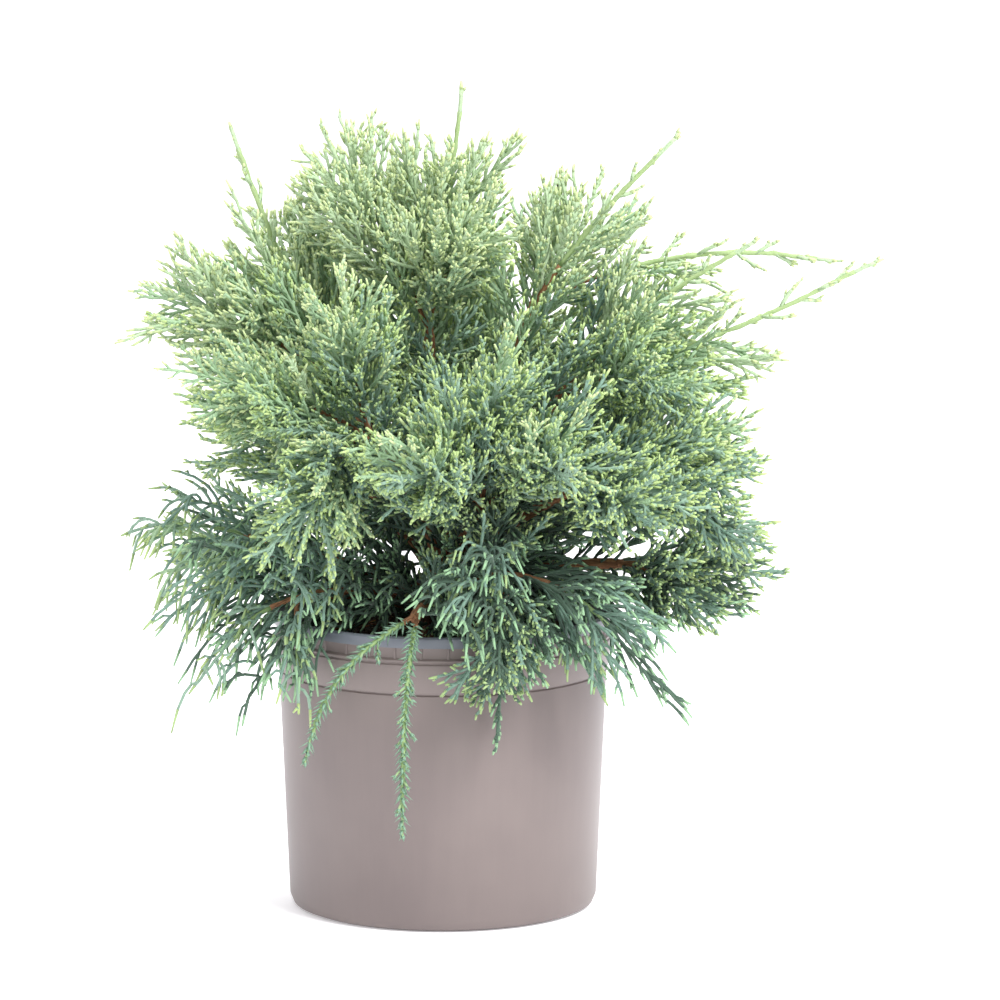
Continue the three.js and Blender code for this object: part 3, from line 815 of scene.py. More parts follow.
def root_angles(frame_at_tip, plumes):
    """Angles round the tip, evenly spaced and turned to suit the plumes best."""
    aims = [heading(azimuth, elevation)[0] for azimuth, elevation, *_ in plumes]
    angles = np.array([math.atan2(aim @ frame_at_tip[2], aim @ frame_at_tip[1]) for aim in aims])
    rank = np.argsort(np.argsort(angles, kind="stable"), kind="stable")
    step = 2 * math.pi / len(plumes)
    mean = math.atan2(np.sin(angles - rank * step).sum(), np.cos(angles - rank * step).sum())
    return mean + rank * step


def stem_path(bough_path, plume, root_angle):
    """A stem that leaves the bough's tip along it and then curves away."""
    azimuth, elevation, length, bend, kind = plume
    tip, frame_at_tip = bough_path[0][-1], bough_path[1][-1]
    start = tip + frame_at_tip[0] * CLEARANCE + STEM_SPREAD * (
        math.cos(root_angle) * frame_at_tip[1] + math.sin(root_angle) * frame_at_tip[2])
    points, frames = walk(start, azimuth, elevation, length - KINDS[kind]["tip"], 0, bend)
    ease = np.linalg.norm(points[1] - points[0]) * STEM_EASE
    points[1:] += ease * (frame_at_tip[0] - frames[0][0])
    frames[0] = frame_at_tip
    return points, frames


plume_list = []
for bough_name, (_, plumes) in BOUGHS.items():
    angles = root_angles(bough_paths[bough_name][1][-1], list(plumes.values()))
    for (plume_name, plume), root_angle in zip(plumes.items(), angles):
        node = f"mass_{bough_name}_{plume_name}"
        plume_list.append({
            "node": node, "length": plume[2], "kind": plume[4], "style": STYLE_OF.get(node, plume[4]),
            "path": stem_path(bough_paths[bough_name], plume, root_angle)})
print("stems:", len(plume_list))

# %% [markdown]
# ## Trunk and boughs
# Young juniper wood has a thin reddish brown bark that splits along the limb and peels in papery
# strips. A tube round each path gets its relief from noise that is stretched along the limb, so that
# ridges and splits follow the grain. A primitive can't follow fifteen bent and tapering paths with such
# a relief, so the tubes are worked out as arrays, and a UV map keeps the grain's direction for the
# material. Each bough starts inside the trunk with a slight collar, as one grown piece of wood does.

# %% A tube with relief round a path
BARK_STEP = 0.8
TRUNK_SIDES = 56
BOUGH_SIDES = 22
BARK_RELIEF = 0.3
BARK_RIDGES = 2.4
BARK_GRAIN = 0.11
RIDGE_SHARE = 0.65
FLAKE_SHARE = 0.35
FLAKE_FINER = 2.7
GRAIN_UNIT = 10
BOUGH_COLLAR_SWELL = 0.4
BOUGH_COLLAR_REACH = 3.5
TIP_REACH = 4
TIP_THINNER = 0.3


def smooth_path(path, spacing):
    """A smooth curve through a path's points, with a frame that doesn't twist at every point of it."""
    points = path[0]
    ghost = np.vstack([2 * points[0] - points[1], points, 2 * points[-1] - points[-2]])
    total = np.linalg.norm(np.diff(points, axis=0), axis=1).sum()
    per_step = max(2, math.ceil(total / spacing / (len(points) - 1)))
    curve = [points[0]]
    for a, b, c, d in zip(ghost, ghost[1:], ghost[2:], ghost[3:]):
        for t in np.arange(1, per_step + 1) / per_step:
            curve.append(0.5 * (2 * b + (c - a) * t + (2 * a - 5 * b + 4 * c - d) * t ** 2
                                + (3 * b - a - 3 * c + d) * t ** 3))
    curve = np.array(curve)
    tangents = np.gradient(curve, axis=0)
    tangents /= np.linalg.norm(tangents, axis=1, keepdims=True)
    across = [np.cross(tangents[0], path[1][0][2])]
    for tangent in tangents:
        side = across[-1] - tangent * (across[-1] @ tangent)
        across.append(side / np.linalg.norm(side))
    across = np.array(across[1:])
    return curve, tangents, across, np.cross(tangents, across)


def tube(curve, across, upward, radii, sides):
    """Points and faces of a closed tube whose radii are given for every ring and every side."""
    angles = 2 * math.pi * np.arange(sides) / sides
    ring = across[:, None] * np.cos(angles)[None, :, None] + upward[:, None] * np.sin(angles)[None, :, None]
    points = (curve[:, None] + ring * radii[:, :, None]).reshape(-1, 3)
    points = np.vstack([points, curve[0], curve[-1]])
    rings, foot, top = len(curve), len(points) - 2, len(points) - 1
    k, j = np.meshgrid(np.arange(rings - 1), np.arange(sides), indexing="ij")
    a, b = k * sides + j, k * sides + (j + 1) % sides
    walls = np.concatenate([np.stack([a, b, b + sides], -1), np.stack([a, b + sides, a + sides], -1)])
    j = np.arange(sides)
    last = (rings - 1) * sides
    ends = np.concatenate([
        np.stack([(j + 1) % sides, j, np.full(sides, foot)], -1),
        np.stack([last + j, last + (j + 1) % sides, np.full(sides, top)], -1)])
    return points, np.concatenate([walls.reshape(-1, 3), ends])


def bark_height(along_mm, angle, seed):
    """Relief of the bark: ridges along the grain, split here and there, and small flakes."""
    round_limb = math.cos(angle) * BARK_RIDGES, math.sin(angle) * BARK_RIDGES
    place = Vector((*round_limb, along_mm * BARK_GRAIN + seed))
    ridge = 1 - 2 * abs(noise.noise(place))
    flake = noise.noise(place * FLAKE_FINER)
    return RIDGE_SHARE * ridge + FLAKE_SHARE * flake


def limb_tube(path, radius_at, sides, seed):
    """A limb with bark relief: its points, faces, and UV values round it and, by the centimetre, along it."""
    curve, _, across, upward = smooth_path(path, BARK_STEP)
    lengths = np.concatenate([[0], np.cumsum(np.linalg.norm(np.diff(curve, axis=0), axis=1))])
    radii = np.zeros((len(curve), sides))
    for i, length in enumerate(lengths):
        for j in range(sides):
            angle = 2 * math.pi * j / sides
            radii[i, j] = radius_at(length / lengths[-1], angle, length, lengths[-1] - length)
            radii[i, j] += BARK_RELIEF * (bark_height(length, angle, seed) - 0.5)
    points, faces = tube(curve, across, upward, radii, sides)
    around = np.tile(np.arange(sides) / sides, len(curve))
    grain = np.stack([around, np.repeat(lengths, sides) / GRAIN_UNIT], axis=1)
    return points, faces, np.vstack([grain, [0, 0], [0, lengths[-1] / GRAIN_UNIT]])


print("a point of the bark at every", BARK_STEP, "mm of a limb")

# %% Radii of the trunk and the boughs


def trunk_radius(share, angle, from_foot, from_tip):
    """Radius of the trunk, with four low buttresses in its flare at the soil."""
    flare = max(0, 1 - share / FLARE_SHARE)
    lobes = 1 + FLARE_DEPTH * flare * math.cos(FLARE_LOBES * angle)
    straight = TRUNK["middle"] + (TRUNK["fork"] - TRUNK["middle"]) * share
    return (straight + (TRUNK["foot"] - TRUNK["middle"]) * flare ** FLARE_CURVE) * lobes


def bough_radius(share, angle, from_foot, from_tip):
    """Radius of a bough, with a collar at the trunk and a thinner tip under the plumes."""
    radius = BOUGH_FOOT_RADIUS + (BOUGH_TIP_RADIUS - BOUGH_FOOT_RADIUS) * share
    collar = 1 + BOUGH_COLLAR_SWELL * math.exp(-from_foot / BOUGH_COLLAR_REACH)
    return radius * collar * (1 - TIP_THINNER * max(0, 1 - from_tip / TIP_REACH))


print("radius of the trunk at its foot:", round(trunk_radius(0, 0, 0, TRUNK["length"]), 1), "mm")

# %% Make the trunk and the boughs
TRUNK_SUNK = 0.5
BARK_SEED = 3
BARK_SEED_STEP = 7


def stack(parts):
    """Joins lists of (points, faces, values) into one set of arrays."""
    points, faces, values, start = [], [], [], 0
    for part_points, part_faces, part_values in parts:
        points.append(part_points)
        faces.append(part_faces + start)
        values.append(part_values)
        start += len(part_points)
    return np.concatenate(points), np.concatenate(faces), np.concatenate(values)


def map_grain(piece, faces, grain):
    """Gives a piece a UV map from the values of its points."""
    uv_map = piece.data.uv_layers.new(name="grain")
    uv_map.data.foreach_set("uv", grain[faces.ravel()].astype(np.float32).ravel())


limbs = [limb_tube(trunk_path, trunk_radius, TRUNK_SIDES, 0)]
for index, path in enumerate(bough_paths.values()):
    limbs.append(limb_tube(path, bough_radius, BOUGH_SIDES, BARK_SEED + BARK_SEED_STEP * index))
limb_points, limb_faces, limb_grain = stack(limbs)
limb_points[:, 2] = np.maximum(limb_points[:, 2], SOIL_TOP - TRUNK_SUNK)
wood = mesh_piece("limbs_with_bark", limb_points, limb_faces)
map_grain(wood, limb_faces, limb_grain)
print("limbs:", len(limbs), "triangles:", len(limb_faces))

# %% [markdown]
# The bark is a mix of orange brown, where a strip has just peeled, and grey brown, where it is older.
# The pattern follows the UV map: a streak is about 1 mm wide round a bough and 6 mm long along it.
# Dry bark is matt, so its roughness is high and it hardly mirrors.

# %% Juniper bark
STREAKS_ROUND = 13
STREAKS_PER_UNIT = 1.6


def bark_material(name, dark, middle, light):
    """Fibrous bark: long streaks of three tones with a matching relief."""
    material, shader = new_material(name, {"Roughness": 0.85, "IOR": 1.5, "Specular IOR Level": 0.3})
    place = add_node(material, "UVMap", {"uv_map": "grain"})
    stretched = add_node(material, "Mapping", {"Scale": (STREAKS_ROUND, STREAKS_PER_UNIT, 1)},
                         {"Vector": (place, "UV")})
    streaks = add_node(material, "TexNoise", {"Scale": 1.0, "Detail": 6, "Roughness": 0.65},
                       {"Vector": (stretched, "Vector")})
    tone = add_node(material, "ValToRGB", links={"Fac": (streaks, "Fac")})
    tone.color_ramp.elements.new(0.5)
    for stop, (position, shade) in zip(tone.color_ramp.elements, ((0.3, dark), (0.5, middle), (0.72, light))):
        stop.position = position
        stop.color = linear(shade)
    relief = add_node(material, "Bump", {"Strength": 0.7, "Distance": 0.25 * MM},
                      {"Height": (streaks, "Fac")})
    join_nodes(material, tone, "Color", shader, "Base Color")
    join_nodes(material, relief, "Normal", shader, "Normal")
    return material


bark = bark_material("juniper bark, peeling in strips", "#553c2d", "#8f6548", "#c6936d")
finish_piece(wood, [bark], ["stem"] + [f"bough_{name}" for name in BOUGHS])

# %% [markdown]
# ## Where side twigs stand
# The solids carry one toothed blade for each spray of foliage. Here the same draws give the same
# sprays, and a second, finer set stands between them. A twig is only kept where its place is free:
# nearer to its own stem than to any other, and clear of the limbs and of the pot. The finer twigs may
# reach a little into the neighbours' space, as the sprays of a real crown interlace.

# %% Free places
stem_points = np.array([plume["path"][0] for plume in plume_list])
wood_points = np.array([trunk_path[0]] + [path[0] for path in bough_paths.values()])


def distances(points, paths):
    """Distance from each point to each path, in an array of one row per point."""
    least = np.full((len(points), len(paths)), np.inf)
    for k in range(paths.shape[1] - 1):
        start, step = paths[:, k], paths[:, k + 1] - paths[:, k]
        offset = points[:, None] - start[None]
        share = np.clip((offset * step).sum(-1) / (step * step).sum(-1), 0, 1)
        gap = np.linalg.norm(offset - share[..., None] * step[None], axis=-1)
        least = np.minimum(least, gap)
    return least


def is_free(points, owners, neighbour_room=NEIGHBOUR_ROOM, limb_room=LIMB_ROOM, pot_room=POT_ROOM):
    """Which points are free for the stems that own them."""
    to_stems = distances(points, stem_points)
    own = to_stems[np.arange(len(points)), owners]
    to_stems[np.arange(len(points)), owners] = np.inf
    free = to_stems.min(axis=1) >= own + neighbour_room
    free &= (distances(points, wood_points) > limb_room).all(axis=1)
    radius, height = np.hypot(points[:, 0], points[:, 1]), points[:, 2]
    near_pot = (height <= POT_HEIGHT + pot_room) & (radius <= RIM_RADIUS + pot_room)
    in_pot = near_pot & ((height < SOIL_TOP + pot_room) | (radius > RIM_INNER_RADIUS - pot_room))
    return free & ~in_pot


print("paths of stems:", len(stem_points), "of limbs:", len(wood_points))

# %% Place of a side twig


def turned_about(vector, axis, degrees):
    """A vector turned about an axis."""
    angle = math.radians(degrees)
    return (vector * math.cos(angle) + np.cross(axis, vector) * math.sin(angle)
            + axis * (axis @ vector) * (1 - math.cos(angle)))


def twig_place(point, limb_frame, roll, open_angle, twist):
    """Where a side twig stands: its foot, and the directions along it and across its spray."""
    ahead, side, upward = limb_frame
    turn, opened = math.radians(roll), math.radians(open_angle)
    outward = side * math.cos(turn) + upward * math.sin(turn)
    forward = ahead * math.cos(opened) + outward * math.sin(opened)
    return point, forward, turned_about(np.cross(ahead, outward), forward, twist)


def room_points(place, length, width):
    """Points that stand for a spray: its teeth and its middle line."""
    foot, forward, across = place
    flat = [(length * far, width / 2 * wide) for far, wide in TEETH]
    flat += [(length * share, 0) for share in MIDDLE_SAMPLES]
    return np.array([foot + forward * x + across * y for x, y in flat])


print("points that stand for a spray:", len(TEETH) + len(MIDDLE_SAMPLES))

# %% Grow the side twigs of every plume
FINE_PITCH = {"feather": 1.8, "whip": 1.7, "leader": 1.9, "arching": 8, "trailing": 6, "needles": 6}
FINE_REACH = {"feather": 0.78, "whip": 1.4, "leader": 1.15, "arching": 0.74, "trailing": 0.7, "needles": 0.7}
FINE_ROOM = -14
FINE_LENGTHS = (0.55, 1.3)
FINE_OPEN = 38
FINE_END = {"whip": 0.58, "leader": 0.4}
FINE_SEED = 1000


def grow_twigs(index, fine):
    """The side twigs of a plume, by the rule of the solids or as the finer set between them."""
    plume = plume_list[index]
    kind = KINDS[plume["kind"]]
    draw = seeded(index + 1 + (FINE_SEED if fine else 0))
    pitch = FINE_PITCH[plume["style"]] if fine else kind["pitch"]
    reach = kind["reach"] * (FINE_REACH[plume["style"]] if fine else 1)
    count = math.floor(plume["length"] * (1 - kind["first"]) / pitch + 0.5)
    roll = 360 * draw()
    twigs = []
    for k in range(count + 1):
        last = k == count
        share = k / count
        point, limb_frame = place_along(plume["path"], kind["first"] + (1 - kind["first"]) * share)
        roll += GOLDEN_ANGLE + ROLL_PLAY * (draw() - 0.5)
        length_play = draw()
        played = np.interp(length_play, (0, 1), FINE_LENGTHS) if fine else 1 - LENGTH_PLAY * length_play
        lowest = plume["length"] * reach * played
        twist = TWIST_PLAY * (draw() - 0.5)
        if last:
            point = point - limb_frame[0] * TIP_SUNK
        open_angle = min(kind["open"], FINE_OPEN) if fine else kind["open"]
        place = twig_place(point, limb_frame, roll, 0 if last else open_angle, twist)
        leafy = share <= kind["leafy"]
        full = lowest * (1 + (kind["short"] - 1) * share) * (1 if leafy else SHOOT_SHARE)
        for shorter in SHORTER:
            length = shorter * (kind["tip"] if last else full)
            width = length * kind["blade"] if leafy else 0
            if length < SHORTEST or (fine and (last or share > FINE_END.get(plume["style"], 1))):
                break
            points = room_points(place, length, width)
            room = FINE_ROOM if fine else NEIGHBOUR_ROOM
            if is_free(points, np.full(len(points), index), room).all():
                twigs.append({"plume": index, "place": place, "length": length, "width": width,
                              "share": share, "last": last, "fine": fine, "ahead": limb_frame[0]})
                break
    return twigs


main_twigs = [twig for index in range(len(plume_list)) for twig in grow_twigs(index, False)]
fine_twigs = [twig for index in range(len(plume_list)) for twig in grow_twigs(index, True)]
print("twigs of the solids:", len(main_twigs), "finer twigs:", len(fine_twigs))

# %% [markdown]
# Short twigs also stand along the boughs themselves, round them by the same golden angle, and fill the
# middle of the crown. Each belongs to the mass whose stem is nearest, and keeps clear of other limbs.

# %% Twigs along the boughs
INNER_PITCH = 1.6
INNER_FIRST = 0.08
INNER_LENGTH = 40
INNER_OPEN = 52
INNER_BLADE = 0.5
INNER_SEED = 2000
INNER_SHORTEST = 0.75
INNER_CLEAR = 0.45
INNER_LIMB_ROOM = 2.9
ANYWHERE = -100


def grow_inner_twigs(index, path, length):
    """The twigs along one bough."""
    draw = seeded(INNER_SEED + index)
    count = math.floor(length * (1 - INNER_FIRST) / INNER_PITCH)
    roll = 360 * draw()
    grown = []
    for k in range(count):
        share = (k + 0.5) / count
        point, limb_frame = place_along(path, INNER_FIRST + (1 - INNER_FIRST) * share)
        roll += GOLDEN_ANGLE + ROLL_PLAY * (draw() - 0.5)
        longest = INNER_LENGTH * (1 - LENGTH_PLAY * draw()) * (INNER_SHORTEST + (1 - INNER_SHORTEST) * share)
        place = twig_place(point, limb_frame, roll, INNER_OPEN, TWIST_PLAY * (draw() - 0.5))
        for shorter in SHORTER:
            size = shorter * longest
            points = room_points(place, size, size * INNER_BLADE)
            points = points[(points - point) @ place[1] > INNER_CLEAR * size]
            owner = distances(points.mean(axis=0)[None], stem_points).argmin()
            if is_free(points, np.full(len(points), owner), ANYWHERE, INNER_LIMB_ROOM).all():
                grown.append({"plume": owner, "place": place, "length": size, "width": size * INNER_BLADE,
                              "share": 0, "last": False, "fine": True, "ahead": limb_frame[0]})
                break
    return grown


inner_twigs = []
for index, (name, path) in enumerate(bough_paths.items()):
    inner_twigs += grow_inner_twigs(index, path, BOUGHS[name][0][3])
print("twigs along the boughs:", len(inner_twigs))

# %% [markdown]
# ## Sprays of scale leaves
# A juniper's green branchlets are cords about 1.3 mm thick: scale leaves in crossed pairs press
# against the shoot and overlap like roof tiles. A side twig bears them in two rows, like a feather,
# and the longer ones branch again. Half of the upright sprays are slender. The plumes low on the left
# arch over, one low on the right trails, and the long leaders bear their cords at a narrow angle. A
# cord is drawn as a three-sided tube whose rings are turned against each other, which gives the zigzag
# of the scales for very few faces. Its last millimetres are a mesh of their own, because new growth is
# yellow-green.

# %% How each style of spray branches
# Of each style: millimetres between the cords of one row, the bare share at the twig's foot, the angle
# of the cords, their length against half the spray's width, the longest in millimetres, millimetres of
# a cord for each of its branches, the rise at their foot, the lift of their end, the sway of their
# bend, and how far they tilt out of the spray, in degrees.
STYLE_VALUES = ("spacing", "bare", "angle", "longest", "most", "branch", "rise", "lift", "sway", "tilt")
STYLE_ROWS = {
    "feather": (6.0, 0.08, 38, 1.25, 20, 2.5, 0, 0.05, 0.12, 40),
    "slender": (3.3, 0.1, 42, 0.52, 7.4, 9, 0, 0.05, 0.1, 50),
    "arching": (8.4, 0.12, 50, 2.8, 24, 9, 0.75, -0.8, 0.22, 55),
    "trailing": (7.5, 0.15, 30, 1.8, 18, 6, 0.1, -0.35, 0.12, 50),
    "whip": (4.6, 0.06, 30, 1.0, 16, 3, 0, 0.05, 0.1, 40),
    "leader": (5.4, 0.06, 26, 0.9, 14, 4, 0, 0.05, 0.1, 40),
}
STYLES = {style: dict(zip(STYLE_VALUES, values)) for style, values in STYLE_ROWS.items()}
CAN_BE_SLENDER = ("feather", "whip", "leader")
SLENDER_SHARE = 0.5
print("styles of spray:", list(STYLES))

# %% Cords that leave their parents in two rows
CORD_FORWARD = 0.3
LIFT_PLAY = (0.4, 1.3)
CORD_SEED = 23

random_cords = np.random.default_rng(CORD_SEED)


def unit(vectors):
    """Vectors at length one."""
    return vectors / np.linalg.norm(vectors, axis=-1, keepdims=True)


def on_cord(cords, share):
    """The point and the direction at a share of each cord's length."""
    share = share[:, None]
    reach = cords["length"][:, None]
    point = cords["foot"] + cords["ahead"] * reach * share + cords["bend"] * reach * share ** 2
    return point, unit(cords["ahead"] + 2 * cords["bend"] * share)


def rows_of_cords(parents, which, share, length, angle, side, normal, style, radius):
    """Cords that leave their parents at given shares, in two rows beside them."""
    count = len(share)
    parent = {key: value[which] for key, value in parents.items()}
    foot, along_parent = on_cord(parent, share)
    across = unit(np.cross(normal, along_parent))
    tilted = np.radians(random_cords.normal(0, style["tilt"], count))[:, None]
    outward = (across * np.cos(tilted) + normal * np.sin(tilted)) * side[:, None]
    angle = np.radians(angle)[:, None]
    ahead = unit(along_parent * np.cos(angle) + outward * np.sin(angle) + np.array([0, 0, style["rise"]]))
    bend = CORD_FORWARD * (along_parent - ahead) + random_cords.normal(0, style["sway"], (count, 3))
    bend[:, 2] += style["lift"] * random_cords.uniform(*LIFT_PLAY, count)
    return {"foot": foot, "ahead": ahead, "bend": bend, "length": length,
            "radius": np.full(count, radius), "plume": parent["plume"], "spray": parent["spray"],
            "level": parent["level"] + 1, "parent": which}


print("a cord bends", CORD_FORWARD, "of the way towards its parent")

# %% The middle cord of a spray
AXIS_SWAY = 0.05
AXIS_FORWARD = 0.22
AXIS_LIFT = 0.25
AXIS_LENGTH = 0.98
AXIS_RADIUS = 0.68
SHOOT_LENGTH = 0.9
WHIP_RADIUS = 0.85


def spray_axis(twig, spray, style):
    """The middle cord of a spray, as arrays with one row."""
    foot, forward, _ = twig["place"]
    bend = random_cords.normal(0, AXIS_SWAY, 3) + AXIS_FORWARD * (twig["ahead"] - forward)
    bend[2] += AXIS_LIFT * style["lift"]
    length = twig["length"] * (AXIS_LENGTH if twig["width"] else SHOOT_LENGTH)
    radius = AXIS_RADIUS if twig["width"] else WHIP_RADIUS
    return {"foot": foot[None], "ahead": forward[None], "bend": bend[None],
            "length": np.array([length]), "radius": np.array([radius]),
            "plume": np.array([twig["plume"]]), "spray": np.array([spray]), "level": np.array([0]),
            "parent": np.array([0])}


print("radius of a spray's axis:", AXIS_RADIUS, "mm, of a bare shoot:", WHIP_RADIUS, "mm")

# %% The cords beside the axis
ENVELOPE_AT = (0, 0.15, 0.42, 0.7, 1)
ENVELOPE = (0.6, 0.9, 1, 0.72, 0.35)
CORD_RADIUS = 0.62
SHORTEST_CORD = 3.2
SHOOT_SPACING = 4
FEWEST_ON_SHOOT = 2
FEWEST_ON_SPRAY = 3
FIRST_CORD = 0.02
LAST_CORD = 0.97
PLACE_PLAY = 0.4
WIDER_AT_FOOT = 1.12
CLOSER_TO_TIP = 0.3
ANGLE_PLAY = 0.12
NARROWEST_HALF = 1.6
CORD_LENGTHS = (0.75, 1.2)


def side_cords(twig, axis, style, normal):
    """The cords in two rows beside the axis."""
    if twig["width"] == 0:
        count = max(FEWEST_ON_SHOOT, int(twig["length"] / SHOOT_SPACING))
    else:
        count = max(FEWEST_ON_SPRAY, int(twig["length"] * (1 - style["bare"]) / style["spacing"] * 2))
    share = style["bare"] + (LAST_CORD - style["bare"]) * (np.arange(count) + 0.5) / count
    share = share + random_cords.uniform(-PLACE_PLAY, PLACE_PLAY, count) / count
    share = np.clip(share, FIRST_CORD, LAST_CORD)
    angle = style["angle"] * (WIDER_AT_FOOT - CLOSER_TO_TIP * share)
    angle = angle * random_cords.normal(1, ANGLE_PLAY, count)
    half = max(twig["width"] / 2, NARROWEST_HALF)
    length = half / np.sin(np.radians(angle)) * np.interp(share, ENVELOPE_AT, ENVELOPE) * style["longest"]
    length = np.clip(length * random_cords.uniform(*CORD_LENGTHS, count), SHORTEST_CORD, style["most"])
    side = np.where(np.arange(count) % 2, 1, -1) * 1.0
    return rows_of_cords(axis, np.zeros(count, int), share, length, angle, side,
                         np.tile(normal, (count, 1)), style, CORD_RADIUS)


print("a spray has at least", FEWEST_ON_SPRAY, "cords beside its axis")

# %% The branches of the longer cords
BRANCH_FROM = 7.5
BRANCH_FOOT = 4
BRANCH_FIRST = 0.18
BRANCH_SPAN = 0.72
BRANCH_PLAY = 0.05
BRANCH_LENGTHS = (0.6, 0.95)
LONGEST_BRANCH = 7.5
BRANCH_ANGLE = 43
BRANCH_TWIST = 0.35
BRANCH_RADIUS = 0.56


def branches_of(cords, style, normal):
    """The branches of the cords that are long enough, in two rows beside each."""
    length = cords["length"]
    long = np.nonzero(length > BRANCH_FROM)[0]
    if not len(long):
        return []
    number = ((length[long] - BRANCH_FOOT) / style["branch"]).astype(int)
    which = np.repeat(long, number)
    order = np.concatenate([np.arange(n) for n in number])
    share = BRANCH_FIRST + BRANCH_SPAN * (order + 0.5) / np.repeat(number, number)
    share = share + random_cords.uniform(-BRANCH_PLAY, BRANCH_PLAY, len(share))
    short = np.clip((1 - share) * length[which] * random_cords.uniform(*BRANCH_LENGTHS, len(share)),
                    SHORTEST_CORD, LONGEST_BRANCH)
    own_normal = unit(normal + random_cords.normal(0, BRANCH_TWIST, (len(share), 3)))
    angle = BRANCH_ANGLE * random_cords.normal(1, ANGLE_PLAY, len(share))
    side = np.where(order % 2, 1, -1) * 1.0
    branches = rows_of_cords(cords, which, share, short, angle, side, own_normal, style, BRANCH_RADIUS)
    # The axis comes before the cords in the spray's arrays, so a cord's place there is one more.
    branches["parent"] = which + 1
    return [branches]


print("cords over", BRANCH_FROM, "mm branch again")

# %% Grow all the sprays


def gather(groups):
    """Joins dictionaries of arrays into one."""
    return {key: np.concatenate([group[key] for group in groups]) for key in groups[0]}


def grow_spray(twig, spray):
    """The axis of a spray, the cords beside it and their own branches."""
    name = plume_list[twig["plume"]]["style"]
    slender = name in CAN_BE_SLENDER and random_cords.uniform() < SLENDER_SHARE
    style = STYLES["slender" if slender else name]
    axis = spray_axis(twig, spray, style)
    normal = np.cross(twig["place"][1], twig["place"][2])
    beside = side_cords(twig, axis, style, normal)
    return gather([axis, beside] + branches_of(beside, style, normal))


twigs = [twig for twig in main_twigs + fine_twigs + inner_twigs
         if plume_list[twig["plume"]]["kind"] != "needles"]
sprays = [grow_spray(twig, spray) for spray, twig in enumerate(twigs)]
before = 0
for spray in sprays:
    spray["parent"] += before
    before += len(spray["parent"])
cords = gather(sprays)
print("sprays:", len(sprays), "cords grown:", len(cords["length"]))

# %% [markdown]
# ## Where the crown is airy
# Seen from the front, the upper right of the crown thins out under its long shoots, so that the sky
# shows between them. The farther out a spray stands there, the likelier it is that it is cut short or
# left out. The long bare shoots all stay.

# %% Open the right shoulder
SPRAY_MIDDLE = 0.6
SHOULDER_FROM = np.array([20, 165])
SHOULDER_HALF = np.array([102, 126])
SHOULDER_AT = (0.71, 0.81, 1.0)
SHOULDER_SPRAYS = (1, 0.35, 0.12)
SHORT_SPRAYS = 0.15
CUT_TO = 0.5


def seen_from_front(points):
    """Where points stand in the camera's view, in millimetres across and up."""
    up = points[:, 2] * math.cos(camera_tilt) + points[:, 1] * math.sin(camera_tilt)
    return np.stack([points[:, 0], up], axis=1)


spray_foot = np.array([twig["place"][0] for twig in twigs])
spray_ahead = np.array([twig["place"][1] for twig in twigs])
spray_length = np.array([twig["length"] for twig in twigs])
spray_middle = spray_foot + spray_ahead * spray_length[:, None] * SPRAY_MIDDLE
seen = seen_from_front(spray_middle)
past = (np.maximum(seen - SHOULDER_FROM, 0) / SHOULDER_HALF).sum(axis=1) * (seen[:, 0] > SHOULDER_FROM[0])
is_shoot = np.array([twig["width"] == 0 for twig in twigs])
is_fine = np.array([twig["fine"] for twig in twigs])
whole = is_shoot | (random_cords.uniform(size=len(twigs)) < np.interp(past, SHOULDER_AT, SHOULDER_SPRAYS))
short = ~whole & (~is_fine | (random_cords.uniform(size=len(twigs)) < SHORT_SPRAYS))
print("sprays whole:", whole.sum(), "short:", short.sum(), "left out:", (~whole & ~short).sum())

# %% Cut the short sprays
is_cut = short[cords["spray"]]
cut_axes = is_cut & (cords["level"] == 0)
cords["length"][cut_axes] *= CUT_TO
cords["bend"][cut_axes] *= CUT_TO
from_foot = np.linalg.norm(cords["foot"] - spray_foot[cords["spray"]], axis=1)
stays = (whole | short)[cords["spray"]]
stays &= ~is_cut | (cords["level"] != 1) | (from_foot < CUT_TO * spray_length[cords["spray"]])
print("cords that stay:", stays.sum())

# %% [markdown]
# Now each cord is looked at by itself. It has to lie inside the measured box, clear of the limbs and
# the pot and not far beyond its own mass. The photograph also shows an opening low in the right of the
# crown, where only a few twigs cross the sky, and the arching cords end well above the pot's foot. A
# cord is dropped with its parent, as a branch can't hang in the air.

# %% Keep the cords that have room
CORD_NEIGHBOUR_ROOM = -18
CORD_LIMB_ROOM = 2.9
CORD_POT_ROOM = 0.9
BOX_ROOM = 0.5
LOWEST_ARCH = 64
ARCH_PLAY = 14
SKY_GAP_MIDDLE = np.array([55, 124])
SKY_GAP_HALF = np.array([16, 7])
SKY_GAP_TWIGS = 0.4


def keep(cords, mask):
    """The cords that a mask picks."""
    return {key: value[mask] for key, value in cords.items()}


def in_sky_gap(points):
    """Which points lie in the opening through which the photograph shows sky, seen from the front."""
    return (((seen_from_front(points) - SKY_GAP_MIDDLE) / SKY_GAP_HALF) ** 2).sum(axis=1) < 1


def points_at(share):
    """The point of every cord at a share of its length."""
    return on_cord(cords, np.full(len(cords["length"]), share))[0]


